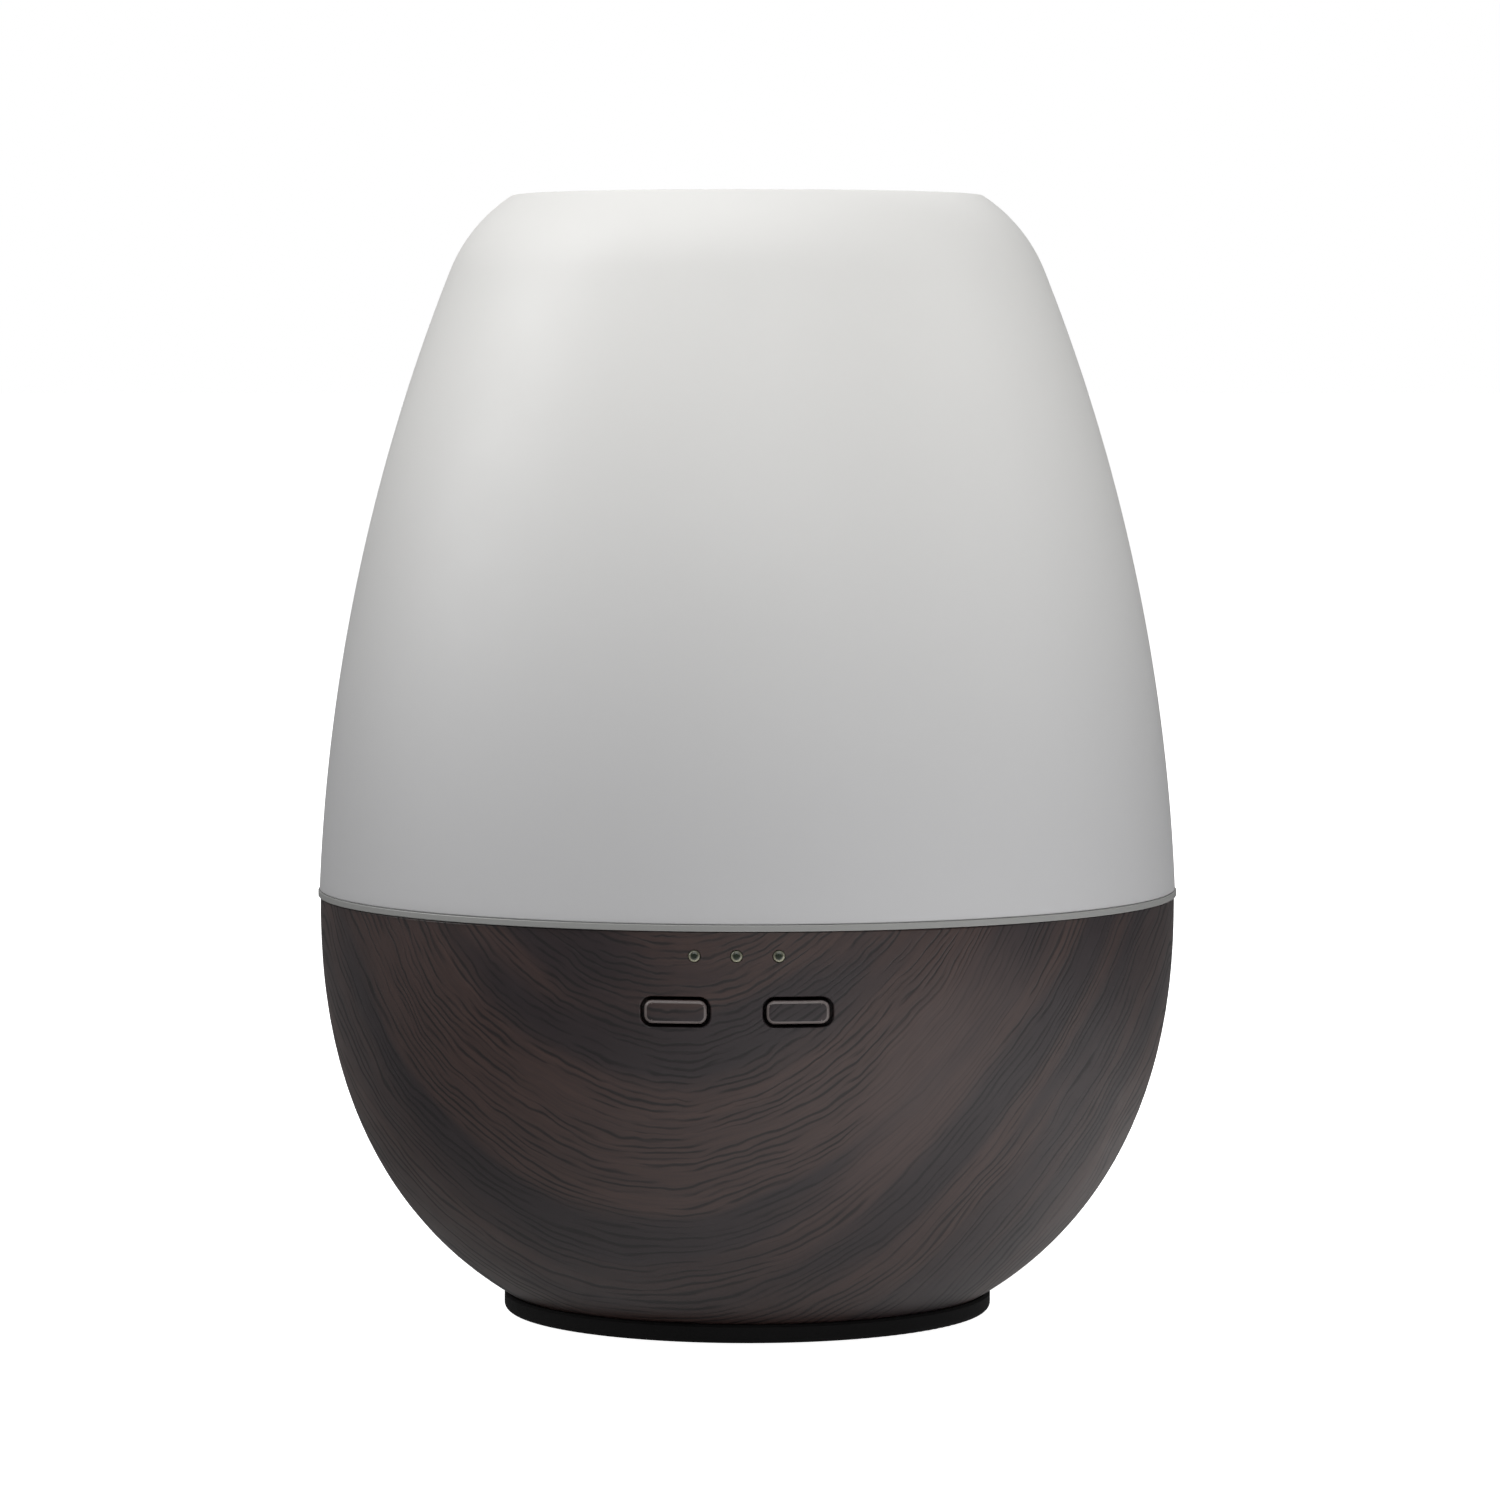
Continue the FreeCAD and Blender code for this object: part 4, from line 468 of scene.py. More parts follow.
# %% [markdown]
# ## The indicator lenses
# Three clear rods stand on one bar behind the shell, and their rounded ends show as beads in the bowl. A
# cylinder with a generous bevel on its front edge gives a bead with a flat middle, like the real
# moulding, where a half sphere would look like a bubble.

# %% Rods and bar
LENS_PITCH = 7.1
LENS_HEIGHT = 71.65
LENS_RADIUS = 1.05
LENS_PROUD = 0.25
LENS_ROUND = 0.7
LENS_ROUND_SEGMENTS = 8
LENS_SIDES = 64
BAR_FRONT = -73.35
BAR_THICK = 1.3
BAR_PAST_RODS = 0.2
BAR_CORNER = 0.4
BAR_CORNER_SEGMENTS = 4

lens_low, lens_high = (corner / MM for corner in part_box("light_pipe"))
bar_top = LENS_HEIGHT + LENS_RADIUS + BAR_PAST_RODS
lenses = rounded_bar("indicator_lenses", 0.0, (lens_low.z + bar_top) / 2, lens_high.x - lens_low.x,
                     bar_top - lens_low.z, BAR_CORNER, BAR_FRONT, BAR_FRONT + BAR_THICK, BAR_CORNER_SEGMENTS)
for number in (-1, 0, 1):
    x = number * LENS_PITCH
    front = -math.sqrt(bowl_radius(LENS_HEIGHT) ** 2 - x ** 2) - LENS_PROUD
    rod = rod_along_y("rod", x, LENS_HEIGHT, LENS_RADIUS, front, lens_high.y, LENS_SIDES)
    round_front(front, LENS_ROUND, LENS_ROUND_SEGMENTS, profile=0.5)
    join_to(lenses, rod)
smooth(lenses, CAP_CRISP)
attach(lenses, "base")
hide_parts("light_pipe")
print("lenses", len(lenses.data.polygons), "faces")

# %% [markdown]
# ## Shared effects for the finishes
# Grain, smudges, dust and the wood figure are each built once as a node group and set into every material
# that needs them, with values of its own. They read Object coordinates. Because each piece's place is in
# its mesh, one pattern runs on unbroken from the bowl to its buttons.


# %% Node helpers
def node(tree, kind, feeds=None, **settings):
    """Adds a shader node. A feed that is a socket is linked and any other is set as the input's value."""
    made = tree.nodes.new("ShaderNode" + kind)
    for setting, value in settings.items():
        setattr(made, setting, value)
    for place, feed in (feeds or {}).items():
        if isinstance(feed, bpy.types.NodeSocket):
            tree.links.new(feed, made.inputs[place])
        else:
            made.inputs[place].default_value = feed
    return made


def maths(tree, operation, first, second=0.0, clamp=False):
    return node(tree, "Math", {0: first, 1: second}, operation=operation, use_clamp=clamp).outputs[0]


def sum_of_squares(tree, first, second):
    squares = [maths(tree, "MULTIPLY", value, value) for value in (first, second)]
    return maths(tree, "ADD", *squares)


def distance(tree, first, second):
    return maths(tree, "SQRT", sum_of_squares(tree, first, second))


def millimetres(tree):
    """The place on the object, in millimetres."""
    place = node(tree, "TexCoord").outputs["Object"]
    return node(tree, "VectorMath", {0: place, "Scale": 1 / MM}, operation="SCALE").outputs[0]


def noise(tree, vector, scale, detail=2.0, roughness=0.5):
    feeds = {"Vector": vector, "Scale": scale, "Detail": detail, "Roughness": roughness}
    return node(tree, "TexNoise", feeds).outputs["Fac"]


def stretch(tree, value, low, high, to_low=0.0, to_high=1.0):
    """Maps low..high smoothly to to_low..to_high and holds the ends."""
    feeds = {"Value": value, "From Min": low, "From Max": high, "To Min": to_low, "To Max": to_high}
    return node(tree, "MapRange", feeds, interpolation_type="SMOOTHSTEP").outputs["Result"]


def blend_colours(tree, factor, first, second, how="MIX"):
    return node(tree, "Mix", {0: factor, 6: first, 7: second}, data_type="RGBA", blend_type=how).outputs[2]


def new_group(name, inputs, outputs):
    """A node group with float inputs and their usual values, and float outputs."""
    tree = bpy.data.node_groups.new(name, "ShaderNodeTree")
    for label, value in inputs.items():
        tree.interface.new_socket(label, in_out="INPUT", socket_type="NodeSocketFloat").default_value = value
    for label in outputs:
        tree.interface.new_socket(label, in_out="OUTPUT", socket_type="NodeSocketFloat")
    return tree, tree.nodes.new("NodeGroupInput").outputs, tree.nodes.new("NodeGroupOutput").inputs


def use_group(tree, group, **values):
    made = tree.nodes.new("ShaderNodeGroup")
    made.node_tree = group
    for label, value in values.items():
        made.inputs[label].default_value = value
    return made.outputs

# %% [markdown]
# ## Grain, smudges and dust
# A mould leaves a fine even grain, hands leave broad smudges with streaks in them, and dust lies only on
# what faces up. Each is a mask from 0 to 1. A noise alone rarely reaches its ends, so a Map Range
# stretches its middle part.

# %% Moulded grain, smudges and settled dust
GRAIN_RANGE = (0.35, 0.65)
SMUDGE_RANGE = (0.42, 0.78)
STREAK_FINENESS = 9.0        # streaks are this many times finer than the patches
LYING_RANGE = (0.45, 1.0)    # how far a face looks up
DUST_SCALE = 0.45
DUST_RANGE = (0.35, 0.7)

moulded_grain, given, puts = new_group(
    "moulded_grain", {"Grain size": 0.4, "Depth": 1.0}, ["Height", "Mask"])
scale = maths(moulded_grain, "DIVIDE", 1.0, given["Grain size"])
fine = noise(moulded_grain, millimetres(moulded_grain), scale, detail=3.0, roughness=0.6)
moulded_grain.links.new(maths(moulded_grain, "MULTIPLY", fine, given["Depth"]), puts["Height"])
moulded_grain.links.new(stretch(moulded_grain, fine, *GRAIN_RANGE), puts["Mask"])

smudges, given, puts = new_group("smudges", {"Patch size": 30.0, "Streaks": 0.3}, ["Mask"])
scale = maths(smudges, "DIVIDE", 1.0, given["Patch size"])
broad = noise(smudges, millimetres(smudges), scale, detail=4.0, roughness=0.62)
finer = maths(smudges, "MULTIPLY", scale, STREAK_FINENESS)
streak = noise(smudges, millimetres(smudges), finer, detail=3.0, roughness=0.7)
both = maths(smudges, "ADD", broad, maths(smudges, "MULTIPLY", streak, given["Streaks"]))
smudges.links.new(stretch(smudges, both, *SMUDGE_RANGE), puts["Mask"])

settled_dust, given, puts = new_group("settled_dust", {"Amount": 0.3}, ["Mask"])
normal = node(settled_dust, "NewGeometry").outputs["Normal"]
facing = node(settled_dust, "SeparateXYZ", {0: normal}).outputs["Z"]
lying = stretch(settled_dust, facing, *LYING_RANGE)
specks = noise(settled_dust, millimetres(settled_dust), DUST_SCALE, detail=5.0, roughness=0.7)
settled = maths(settled_dust, "MULTIPLY", lying, stretch(settled_dust, specks, *DUST_RANGE))
settled_dust.links.new(maths(settled_dust, "MULTIPLY", settled, given["Amount"]), puts["Mask"])
print([group.name for group in bpy.data.node_groups])

# %% [markdown]
# ## The wood print
# The bowl is plastic with a printed film of dark wood, pulled on in water and lacquered. The print shows
# the end of a log cut at a slant: rings as tilted ellipses about a point far above the bowl, so they
# cross the front as nested U shapes that climb to the right. Rings alone look drawn. Three things make
# them wood: a slow wander of the whole figure, dark bands of uneven width, and short pore strokes that
# follow the rings. The first cell finds, for every point, how far out it lies across the rings and how
# far along them.

# %% Rings of the print
RING_CENTRE = (-4.5, 158.0)      # X and Z, in millimetres
RING_TILT = math.radians(83.0)
RING_STRETCH = 0.58
STROKE_CENTRE = (-12.0, 122.0)   # X and Z about which the strokes run round
ARC_RADIUS = 75.0                # millimetres along a ring for each radian
WANDER_SCALE = 0.026
NOISE_MIDDLE = 0.5

wood_figure, given, puts = new_group(
    "wood_figure", {"Wander": 6.0, "Ripple": 0.5}, ["Band", "Streaks", "Pores", "Fibres", "Patch"])
tree = wood_figure
spot = millimetres(tree)
slow = node(tree, "TexNoise", {"Vector": spot, "Scale": WANDER_SCALE, "Detail": 2.0}).outputs["Color"]
drift = node(tree, "VectorMath", {0: slow, 1: [NOISE_MIDDLE] * 3}, operation="SUBTRACT").outputs[0]
drift = node(tree, "VectorMath", {0: drift, "Scale": given["Wander"]}, operation="SCALE").outputs[0]
wandered = node(tree, "VectorMath", {0: spot, 1: drift}, operation="ADD").outputs[0]
side, deep, up = node(tree, "SeparateXYZ", {0: wandered}).outputs
right = maths(tree, "SUBTRACT", side, RING_CENTRE[0])
above = maths(tree, "SUBTRACT", up, RING_CENTRE[1])
along = maths(tree, "ADD", maths(tree, "MULTIPLY", right, math.cos(RING_TILT)),
              maths(tree, "MULTIPLY", above, math.sin(RING_TILT)))
across = maths(tree, "SUBTRACT", maths(tree, "MULTIPLY", above, math.cos(RING_TILT)),
               maths(tree, "MULTIPLY", right, math.sin(RING_TILT)))
plain_ring = distance(tree, maths(tree, "MULTIPLY", along, RING_STRETCH), across)
turn = maths(tree, "ARCTAN2", maths(tree, "SUBTRACT", side, STROKE_CENTRE[0]),
             maths(tree, "SUBTRACT", STROKE_CENTRE[1], up))
run = maths(tree, "MULTIPLY", turn, ARC_RADIUS)


def along_rings(ring, across_rate, along_rate, depth_rate, offset=0.0):
    """Coordinates that run across the rings, along them and into the log, at these rates per millimetre."""
    outward = node(tree, "Math", {0: ring, 1: across_rate, 2: offset}, operation="MULTIPLY_ADD").outputs[0]
    feeds = {"X": outward, "Y": maths(tree, "MULTIPLY", run, along_rate),
             "Z": maths(tree, "MULTIPLY", deep, depth_rate)}
    return node(tree, "CombineXYZ", feeds).outputs[0]


# %% [markdown]
# ## Bands, pores and fibres
# Noise read at a high rate across the rings and a low rate along them comes out as lines that follow the
# rings. The pore strokes start as a wave across the rings, which keeps an even spacing as real growth
# does. A slow sway and a small jitter bend the wave, and a second noise breaks it into strokes, so that
# no line runs on for ever.

# %% Figure of the print
STROKES_PER_MM = 1.35
SWAY = 3.4                       # in strokes
JITTER = 0.65
STROKE_RANGE = (0.20, 0.44)      # thinnest and fullest part of a stroke in its wave
BREAK_RANGE = (0.36, 0.58)
BAND_RANGE = (0.36, 0.58)
STREAK_RANGE = (0.36, 0.62)
FIBRE_RANGE = (0.35, 0.68)
HALF_WAVE = 0.5

bands = noise(tree, along_rings(plain_ring, 0.15, 0.012, 0.008), 1.0, roughness=0.45)
streaks = noise(tree, along_rings(plain_ring, 0.75, 0.02, 0.012, 20.0), 1.0)
ripple = noise(tree, along_rings(plain_ring, 0.25, 0.22, 0.06), 1.0, detail=1.0)
ripple = maths(tree, "MULTIPLY", maths(tree, "SUBTRACT", ripple, NOISE_MIDDLE), given["Ripple"])
ring = maths(tree, "ADD", plain_ring, ripple)
sway = maths(tree, "MULTIPLY", noise(tree, along_rings(ring, 0.20, 0.035, 0.03, 60.0), 1.0), SWAY)
jitter = noise(tree, along_rings(ring, 0.9, 0.22, 0.1, 70.0), 1.0, detail=1.0)
bend = maths(tree, "ADD", sway, maths(tree, "MULTIPLY", jitter, JITTER))
phase = maths(tree, "ADD", maths(tree, "MULTIPLY", ring, STROKES_PER_MM), bend)
strokes = stretch(tree, maths(tree, "PINGPONG", phase, HALF_WAVE), *STROKE_RANGE)
breaks = noise(tree, along_rings(ring, 1.3, 0.080, 0.05, 40.0), 1.0, detail=1.0, roughness=0.4)
pores = maths(tree, "MULTIPLY", strokes, stretch(tree, breaks, *BREAK_RANGE))
fibres = noise(tree, along_rings(ring, 5.4, 0.16, 0.1, 90.0), 1.0, detail=1.0)
tree.links.new(stretch(tree, bands, *BAND_RANGE), puts["Band"])
tree.links.new(stretch(tree, streaks, *STREAK_RANGE), puts["Streaks"])
tree.links.new(pores, puts["Pores"])
tree.links.new(stretch(tree, fibres, *FIBRE_RANGE), puts["Fibres"])

# %% A plain patch in the print
PLAIN_PATCH = (33.0, 52.0)       # X and Z of its middle, in millimetres
PATCH_SLANT = 0.5
PATCH_ACROSS_RATE = 0.1
PATCH_UP_RATE = 0.045
PATCH_FADE = (1.6, 0.2)          # where the patch ends and where it is full

patch_side = maths(tree, "SUBTRACT", side, PLAIN_PATCH[0])
patch_up = maths(tree, "SUBTRACT", up, PLAIN_PATCH[1])
slanted = maths(tree, "SUBTRACT", patch_side, maths(tree, "MULTIPLY", patch_up, PATCH_SLANT))
patch_across = maths(tree, "MULTIPLY", slanted, PATCH_ACROSS_RATE)
patch_along = maths(tree, "MULTIPLY", patch_up, PATCH_UP_RATE)
patch_far = sum_of_squares(tree, patch_across, patch_along)
tree.links.new(stretch(tree, patch_far, *PATCH_FADE), puts["Patch"])
print(wood_figure.name, len(tree.nodes), "nodes")

# %% [markdown]
# ## Making a material
# Every finish of the object is one Principled shader. A colour that is the same everywhere is typed on
# its socket. Only what changes over the surface comes through nodes: the colour's variation, the
# roughness and the height for a bump.


# %% Material helper
PLASTIC_IOR = 1.46
COAT_ROUGHNESS = 0.2


def finish(name, colour, roughness, metallic=0.0, ior=PLASTIC_IOR, coat=0.0):
    """A Principled material with plain values; returns it, its tree and its shader for what varies."""
    material = bpy.data.materials.new(name)
    material.use_nodes = True
    shader = material.node_tree.nodes["Principled BSDF"]
    shader.inputs["Base Color"].default_value = (*colour, 1.0)
    shader.inputs["Roughness"].default_value = roughness
    shader.inputs["Metallic"].default_value = metallic
    shader.inputs["IOR"].default_value = ior
    shader.inputs["Coat Weight"].default_value = coat
    shader.inputs["Coat Roughness"].default_value = COAT_ROUGHNESS
    return material, material.node_tree, shader


def relief(tree, shader, height, distance):
    """Feeds a height, as a share of distance in millimetres, to the shader's normal."""
    bump = node(tree, "Bump", {"Height": height, "Distance": distance * MM, "Strength": 1.0})
    tree.links.new(bump.outputs["Normal"], shader.inputs["Normal"])


def vary(tree, shader, mask, first, second, low_rough, high_rough):
    """Colour and roughness that go from the first to the second with a mask."""
    tree.links.new(blend_colours(tree, mask, (*first, 1.0), (*second, 1.0)), shader.inputs["Base Color"])
    tree.links.new(stretch(tree, mask, 0.0, 1.0, low_rough, high_rough), shader.inputs["Roughness"])


# %% [markdown]
# ## The printed bowl
# The film is laid down in inks: a brown ground with grey bands, darker streaks, fine grey fibres and
# nearly black pores. Blending the inks one over the other, in that order, works as the printer does. The
# lacquer over it is smooth, apart from the pores, which are a little lower and duller.

# %% Wood print
WOOD_DARK = (0.0050, 0.0032, 0.0036)
WOOD_BROWN = (0.0505, 0.0293, 0.0255)
WOOD_GREY = (0.0207, 0.0143, 0.0162)
WOOD_PLAIN = (0.0560, 0.0350, 0.0320)
STREAK_SHARE = 0.16
PATCH_SHARE = 0.55
FIBRE_SHARE = 0.30
PORE_SHARE = (0.88, 0.26)        # outside the plain patch and in it
LACQUER_ROUGHNESS = (0.38, 0.46)
PORE_DULLNESS = 0.08
PORE_DEPTH = 0.04                # millimetres


def ink_over(tree, ground, share, ink):
    """Lays an ink over the ground, as strongly as share says."""
    return blend_colours(tree, share, ground, (*ink, 1.0))


wood_print, tree, shader = finish("wood_print", WOOD_BROWN, 0.42)
figure = use_group(tree, wood_figure)
ground = ink_over(tree, (*WOOD_GREY, 1.0), figure["Band"], WOOD_BROWN)
ground = ink_over(tree, ground, maths(tree, "MULTIPLY", figure["Streaks"], STREAK_SHARE), WOOD_DARK)
ground = ink_over(tree, ground, maths(tree, "MULTIPLY", figure["Patch"], PATCH_SHARE), WOOD_PLAIN)
ground = ink_over(tree, ground, maths(tree, "MULTIPLY", figure["Fibres"], FIBRE_SHARE), WOOD_GREY)
pore_share = stretch(tree, figure["Patch"], 0.0, 1.0, *PORE_SHARE)
open_pores = maths(tree, "MULTIPLY", figure["Pores"], pore_share)
tree.links.new(ink_over(tree, ground, open_pores, WOOD_DARK), shader.inputs["Base Color"])
marks = use_group(tree, smudges, **{"Patch size": 45.0, "Streaks": 0.25})["Mask"]
smudged = stretch(tree, marks, 0.0, 1.0, *LACQUER_ROUGHNESS)
dull = maths(tree, "ADD", smudged, maths(tree, "MULTIPLY", open_pores, PORE_DULLNESS))
tree.links.new(dull, shader.inputs["Roughness"])
relief(tree, shader, open_pores, -PORE_DEPTH)
print(wood_print.name, len(tree.nodes), "nodes")

# %% [markdown]
# ## The caps' edges
# A cap's rounded edge is paler and shines more. The pale colour is a painted highlight, standing in for the
# lamps' reflection along the lacquered round, and the roughness there is lower. It is a second material on
# the same cap, because a mask by height or angle would also catch other parts of the print.

# %% Painted edge highlight
# painted highlight: the two pale colours of the caps' rounded edges
HIGHLIGHT_FIRST = (0.085, 0.068, 0.065)
HIGHLIGHT_SECOND = (0.125, 0.104, 0.100)

painted_edge_highlight, tree, shader = finish("painted_edge_highlight", WOOD_PLAIN, 0.3, ior=1.50)
marks = use_group(tree, smudges, **{"Patch size": 4.0, "Streaks": 0.5})["Mask"]
vary(tree, shader, marks, HIGHLIGHT_FIRST, HIGHLIGHT_SECOND, 0.26, 0.38)
print(painted_edge_highlight.name, len(tree.nodes), "nodes")

# %% [markdown]
# ## Frosted white
# The dome's colour goes from white at the top to grey at the bottom with height, as painted shade. It stands
# in for the lamp above lighting the top, for light scattered back by the white inside, and for light lost in
# the tank lower down. Subsurface scattering would do part of this slowly and with noise.

# %% Frosted white
MILK = (0.79, 0.785, 0.765)
# painted shade: the grey of the dome's lower part, and the heights over which it turns to white
MILK_SHADED = (0.487, 0.487, 0.494)
MILK_SHADE_HEIGHTS = (70.0, 196.0)
MILK_SMUDGE = 0.02
MILK_ROUGHNESS = (0.46, 0.54)
MILK_GRAIN = 0.35
MILK_GRAIN_DEPTH = 0.006

frosted_white, tree, shader = finish("frosted_white", MILK, 0.5, ior=1.49)
height = node(tree, "SeparateXYZ", {0: millimetres(tree)}).outputs["Z"]
marks = use_group(tree, smudges, **{"Patch size": 60.0, "Streaks": 0.2})["Mask"]
smudged = maths(tree, "MULTIPLY", marks, MILK_SMUDGE)
# painted shade: the share of white falls towards the bottom of the dome
milky = maths(tree, "SUBTRACT", stretch(tree, height, *MILK_SHADE_HEIGHTS), smudged)
tree.links.new(blend_colours(tree, milky, (*MILK_SHADED, 1.0), (*MILK, 1.0)), shader.inputs["Base Color"])
tree.links.new(stretch(tree, marks, 0.0, 1.0, *MILK_ROUGHNESS), shader.inputs["Roughness"])
grained = use_group(tree, moulded_grain, **{"Grain size": MILK_GRAIN})
relief(tree, shader, grained["Height"], MILK_GRAIN_DEPTH)
made = {"wood_print": wood_print, "frosted_white": frosted_white}
print(sorted(made))

# %% [markdown]
# ## The other plastics and rubbers
# Tank, board parts, pads and leads are all mouldings. They differ in colour, gloss and grain, so one loop
# makes them from a table. Each has two close colours, and grain, smudges and a little dust decide between
# them. Very matt black parts get a low index of refraction, which takes away the grey sheen at their
# edges.

# %% Mouldings
mouldings = {  # slot: first colour, second colour, roughness range, grain size and depth in millimetres
    "black_plastic": ((0.0030, 0.0029, 0.0030), (0.0070, 0.0067, 0.0069), (0.58, 0.76), 0.45, 0.03),
    "foot_rubber": ((0.0110, 0.0110, 0.0115), (0.0230, 0.0225, 0.0220), (0.72, 0.90), 0.80, 0.05),
    "tank_plastic": ((0.47, 0.475, 0.46), (0.53, 0.535, 0.52), (0.30, 0.42), 0.90, 0.010),
    "inner_white": ((0.66, 0.66, 0.645), (0.72, 0.72, 0.705), (0.36, 0.50), 0.60, 0.012),
    "silicone": ((0.50, 0.50, 0.48), (0.58, 0.57, 0.55), (0.55, 0.75), 0.50, 0.02),
    "black_epoxy": ((0.0100, 0.0100, 0.0105), (0.0210, 0.0205, 0.0205), (0.38, 0.62), 0.12, 0.02),
    "white_nylon": ((0.70, 0.69, 0.64), (0.76, 0.75, 0.71), (0.38, 0.55), 0.35, 0.015),
    "lamp_resin": ((0.60, 0.58, 0.44), (0.68, 0.66, 0.52), (0.18, 0.32), 0.20, 0.01),
    "lead_vinyl": ((0.30, 0.30, 0.31), (0.38, 0.38, 0.385), (0.40, 0.58), 0.50, 0.02),
    "ferrite": ((0.0220, 0.0215, 0.0230), (0.0420, 0.0410, 0.0420), (0.55, 0.80), 0.18, 0.04),
}
MATT = ("black_plastic", "foot_rubber")
MATT_IOR = 1.2
DUST_ON_MOULDINGS = 0.10
SMUDGE_SHARE = 0.6
GRAIN_SHARE = 0.4

for slot, (first, second, (low, high), grain, grain_depth) in mouldings.items():
    made[slot], tree, shader = finish(slot, first, low, ior=MATT_IOR if slot in MATT else PLASTIC_IOR)
    patch_size = 40 * grain + 10     # coarser mouldings are larger and are smudged in larger patches
    marks = use_group(tree, smudges, **{"Patch size": patch_size, "Streaks": 0.4})["Mask"]
    grained = use_group(tree, moulded_grain, **{"Grain size": grain})
    dust = use_group(tree, settled_dust, Amount=DUST_ON_MOULDINGS)["Mask"]
    mask = maths(tree, "ADD", maths(tree, "MULTIPLY", marks, SMUDGE_SHARE),
                 maths(tree, "MULTIPLY", grained["Mask"], GRAIN_SHARE))
    vary(tree, shader, maths(tree, "ADD", mask, dust, clamp=True), first, second, low, high)
    relief(tree, shader, grained["Height"], grain_depth)
print(len(mouldings), "mouldings")

# %% [markdown]
# ## The light band
# The tank's milky flange shows its edge between dome and bowl. It lets light through, and the dark inside
# behind it and the gap over it leave it greyer than the basin while the lamps are off. That grey is painted
# shade on the edge. The distance from the axis tells the edge from the rest of the same moulding.

# %% Band edge, painted shade
BAND_EDGE = 76.4                 # millimetres from the axis
BAND_FADE = 0.5
# painted shade: the grey of the flange's edge
BAND_SHADE_GREY = (0.27, 0.272, 0.265)

tree = made["tank_plastic"].node_tree
shader = tree.nodes["Principled BSDF"]
spread = node(tree, "SeparateXYZ", {0: millimetres(tree)}).outputs
edge = stretch(tree, distance(tree, spread["X"], spread["Y"]), BAND_EDGE - BAND_FADE, BAND_EDGE)
plastic = shader.inputs["Base Color"].links[0].from_socket
# painted shade laid on the flange's edge
tree.links.new(blend_colours(tree, edge, plastic, (*BAND_SHADE_GREY, 1.0)), shader.inputs["Base Color"])
print(len(made), "finishes so far")

# %% [markdown]
# ## Metals
# A turned or drawn metal part carries fine lines from its making, so its noise is stretched along one
# direction. The lines show in the roughness more than in the colour.

# %% Metal finishes
LINE_RANGE = (0.3, 0.7)
LINE_SHARE = 0.55
STAIN_SHARE = 0.45
LINE_DEPTH = 0.004               # millimetres

drawn_lines, given, puts = new_group("drawn_lines", {"Pitch": 0.15, "Length": 6.0}, ["Mask"])
spread = node(drawn_lines, "SeparateXYZ", {0: millimetres(drawn_lines)}).outputs
short = maths(drawn_lines, "DIVIDE", 1.0, given["Pitch"])
long = maths(drawn_lines, "DIVIDE", 1.0, given["Length"])
lines = node(drawn_lines, "CombineXYZ", {"X": maths(drawn_lines, "MULTIPLY", spread["X"], long),
                                         "Y": maths(drawn_lines, "MULTIPLY", spread["Y"], long),
                                         "Z": maths(drawn_lines, "MULTIPLY", spread["Z"], short)}).outputs[0]
worked = noise(drawn_lines, lines, 1.0, detail=3.0)
drawn_lines.links.new(stretch(drawn_lines, worked, *LINE_RANGE), puts["Mask"])

metals = {  # slot: colour, tarnished colour, roughness range, line pitch
    "screw_steel": ((0.50, 0.49, 0.47), (0.38, 0.37, 0.35), (0.24, 0.42), 0.12),
    "stainless": ((0.60, 0.59, 0.57), (0.50, 0.49, 0.47), (0.16, 0.32), 0.10),
    "can_aluminium": ((0.70, 0.70, 0.70), (0.58, 0.58, 0.58), (0.28, 0.46), 0.20),
    "bearing_brass": ((0.68, 0.48, 0.22), (0.50, 0.34, 0.15), (0.25, 0.42), 0.10),
}
for slot, (bright, dull, (low, high), pitch) in metals.items():
    made[slot], tree, shader = finish(slot, bright, low, metallic=1.0)
    mask = use_group(tree, drawn_lines, Pitch=pitch)["Mask"]
    stain = use_group(tree, smudges, **{"Patch size": 8.0, "Streaks": 0.5})["Mask"]
    mask = maths(tree, "ADD", maths(tree, "MULTIPLY", mask, LINE_SHARE),
                 maths(tree, "MULTIPLY", stain, STAIN_SHARE))
    vary(tree, shader, mask, bright, dull, low, high)
    relief(tree, shader, mask, LINE_DEPTH)
print(len(metals), "metals")

# %% [markdown]
# ## The circuit boards
# A board is green solder mask over copper: the tracks stand up a little and show paler through the mask.
# Cells measured by the sum of both sides have upright and slanted edges, and rings inside them pass for
# tracks.

# %% Circuit board
MASK_GREEN = (0.010, 0.060, 0.024)
TRACK_GREEN = (0.020, 0.120, 0.045)
CELL_SCALE = 0.35
TRACK_PITCH = 0.16
TRACK_RANGE = (0.05, 0.09)
TRACK_DEPTH = 0.03               # millimetres

made["circuit_board"], tree, shader = finish("circuit_board", (0.012, 0.075, 0.030), 0.3, coat=0.3)
cells = node(tree, "TexVoronoi", {"Vector": millimetres(tree), "Scale": CELL_SCALE, "Randomness": 0.55},
             distance="MANHATTAN", feature="F1").outputs["Distance"]
tracks = stretch(tree, maths(tree, "PINGPONG", cells, TRACK_PITCH), *TRACK_RANGE)
marks = use_group(tree, smudges, **{"Patch size": 12.0})["Mask"]
mask = maths(tree, "MULTIPLY", tracks, stretch(tree, marks, 0.0, 1.0, 0.7, 1.0))
vary(tree, shader, mask, MASK_GREEN, TRACK_GREEN, 0.26, 0.36)
relief(tree, shader, tracks, TRACK_DEPTH)
print("circuit_board", len(tree.nodes), "nodes")

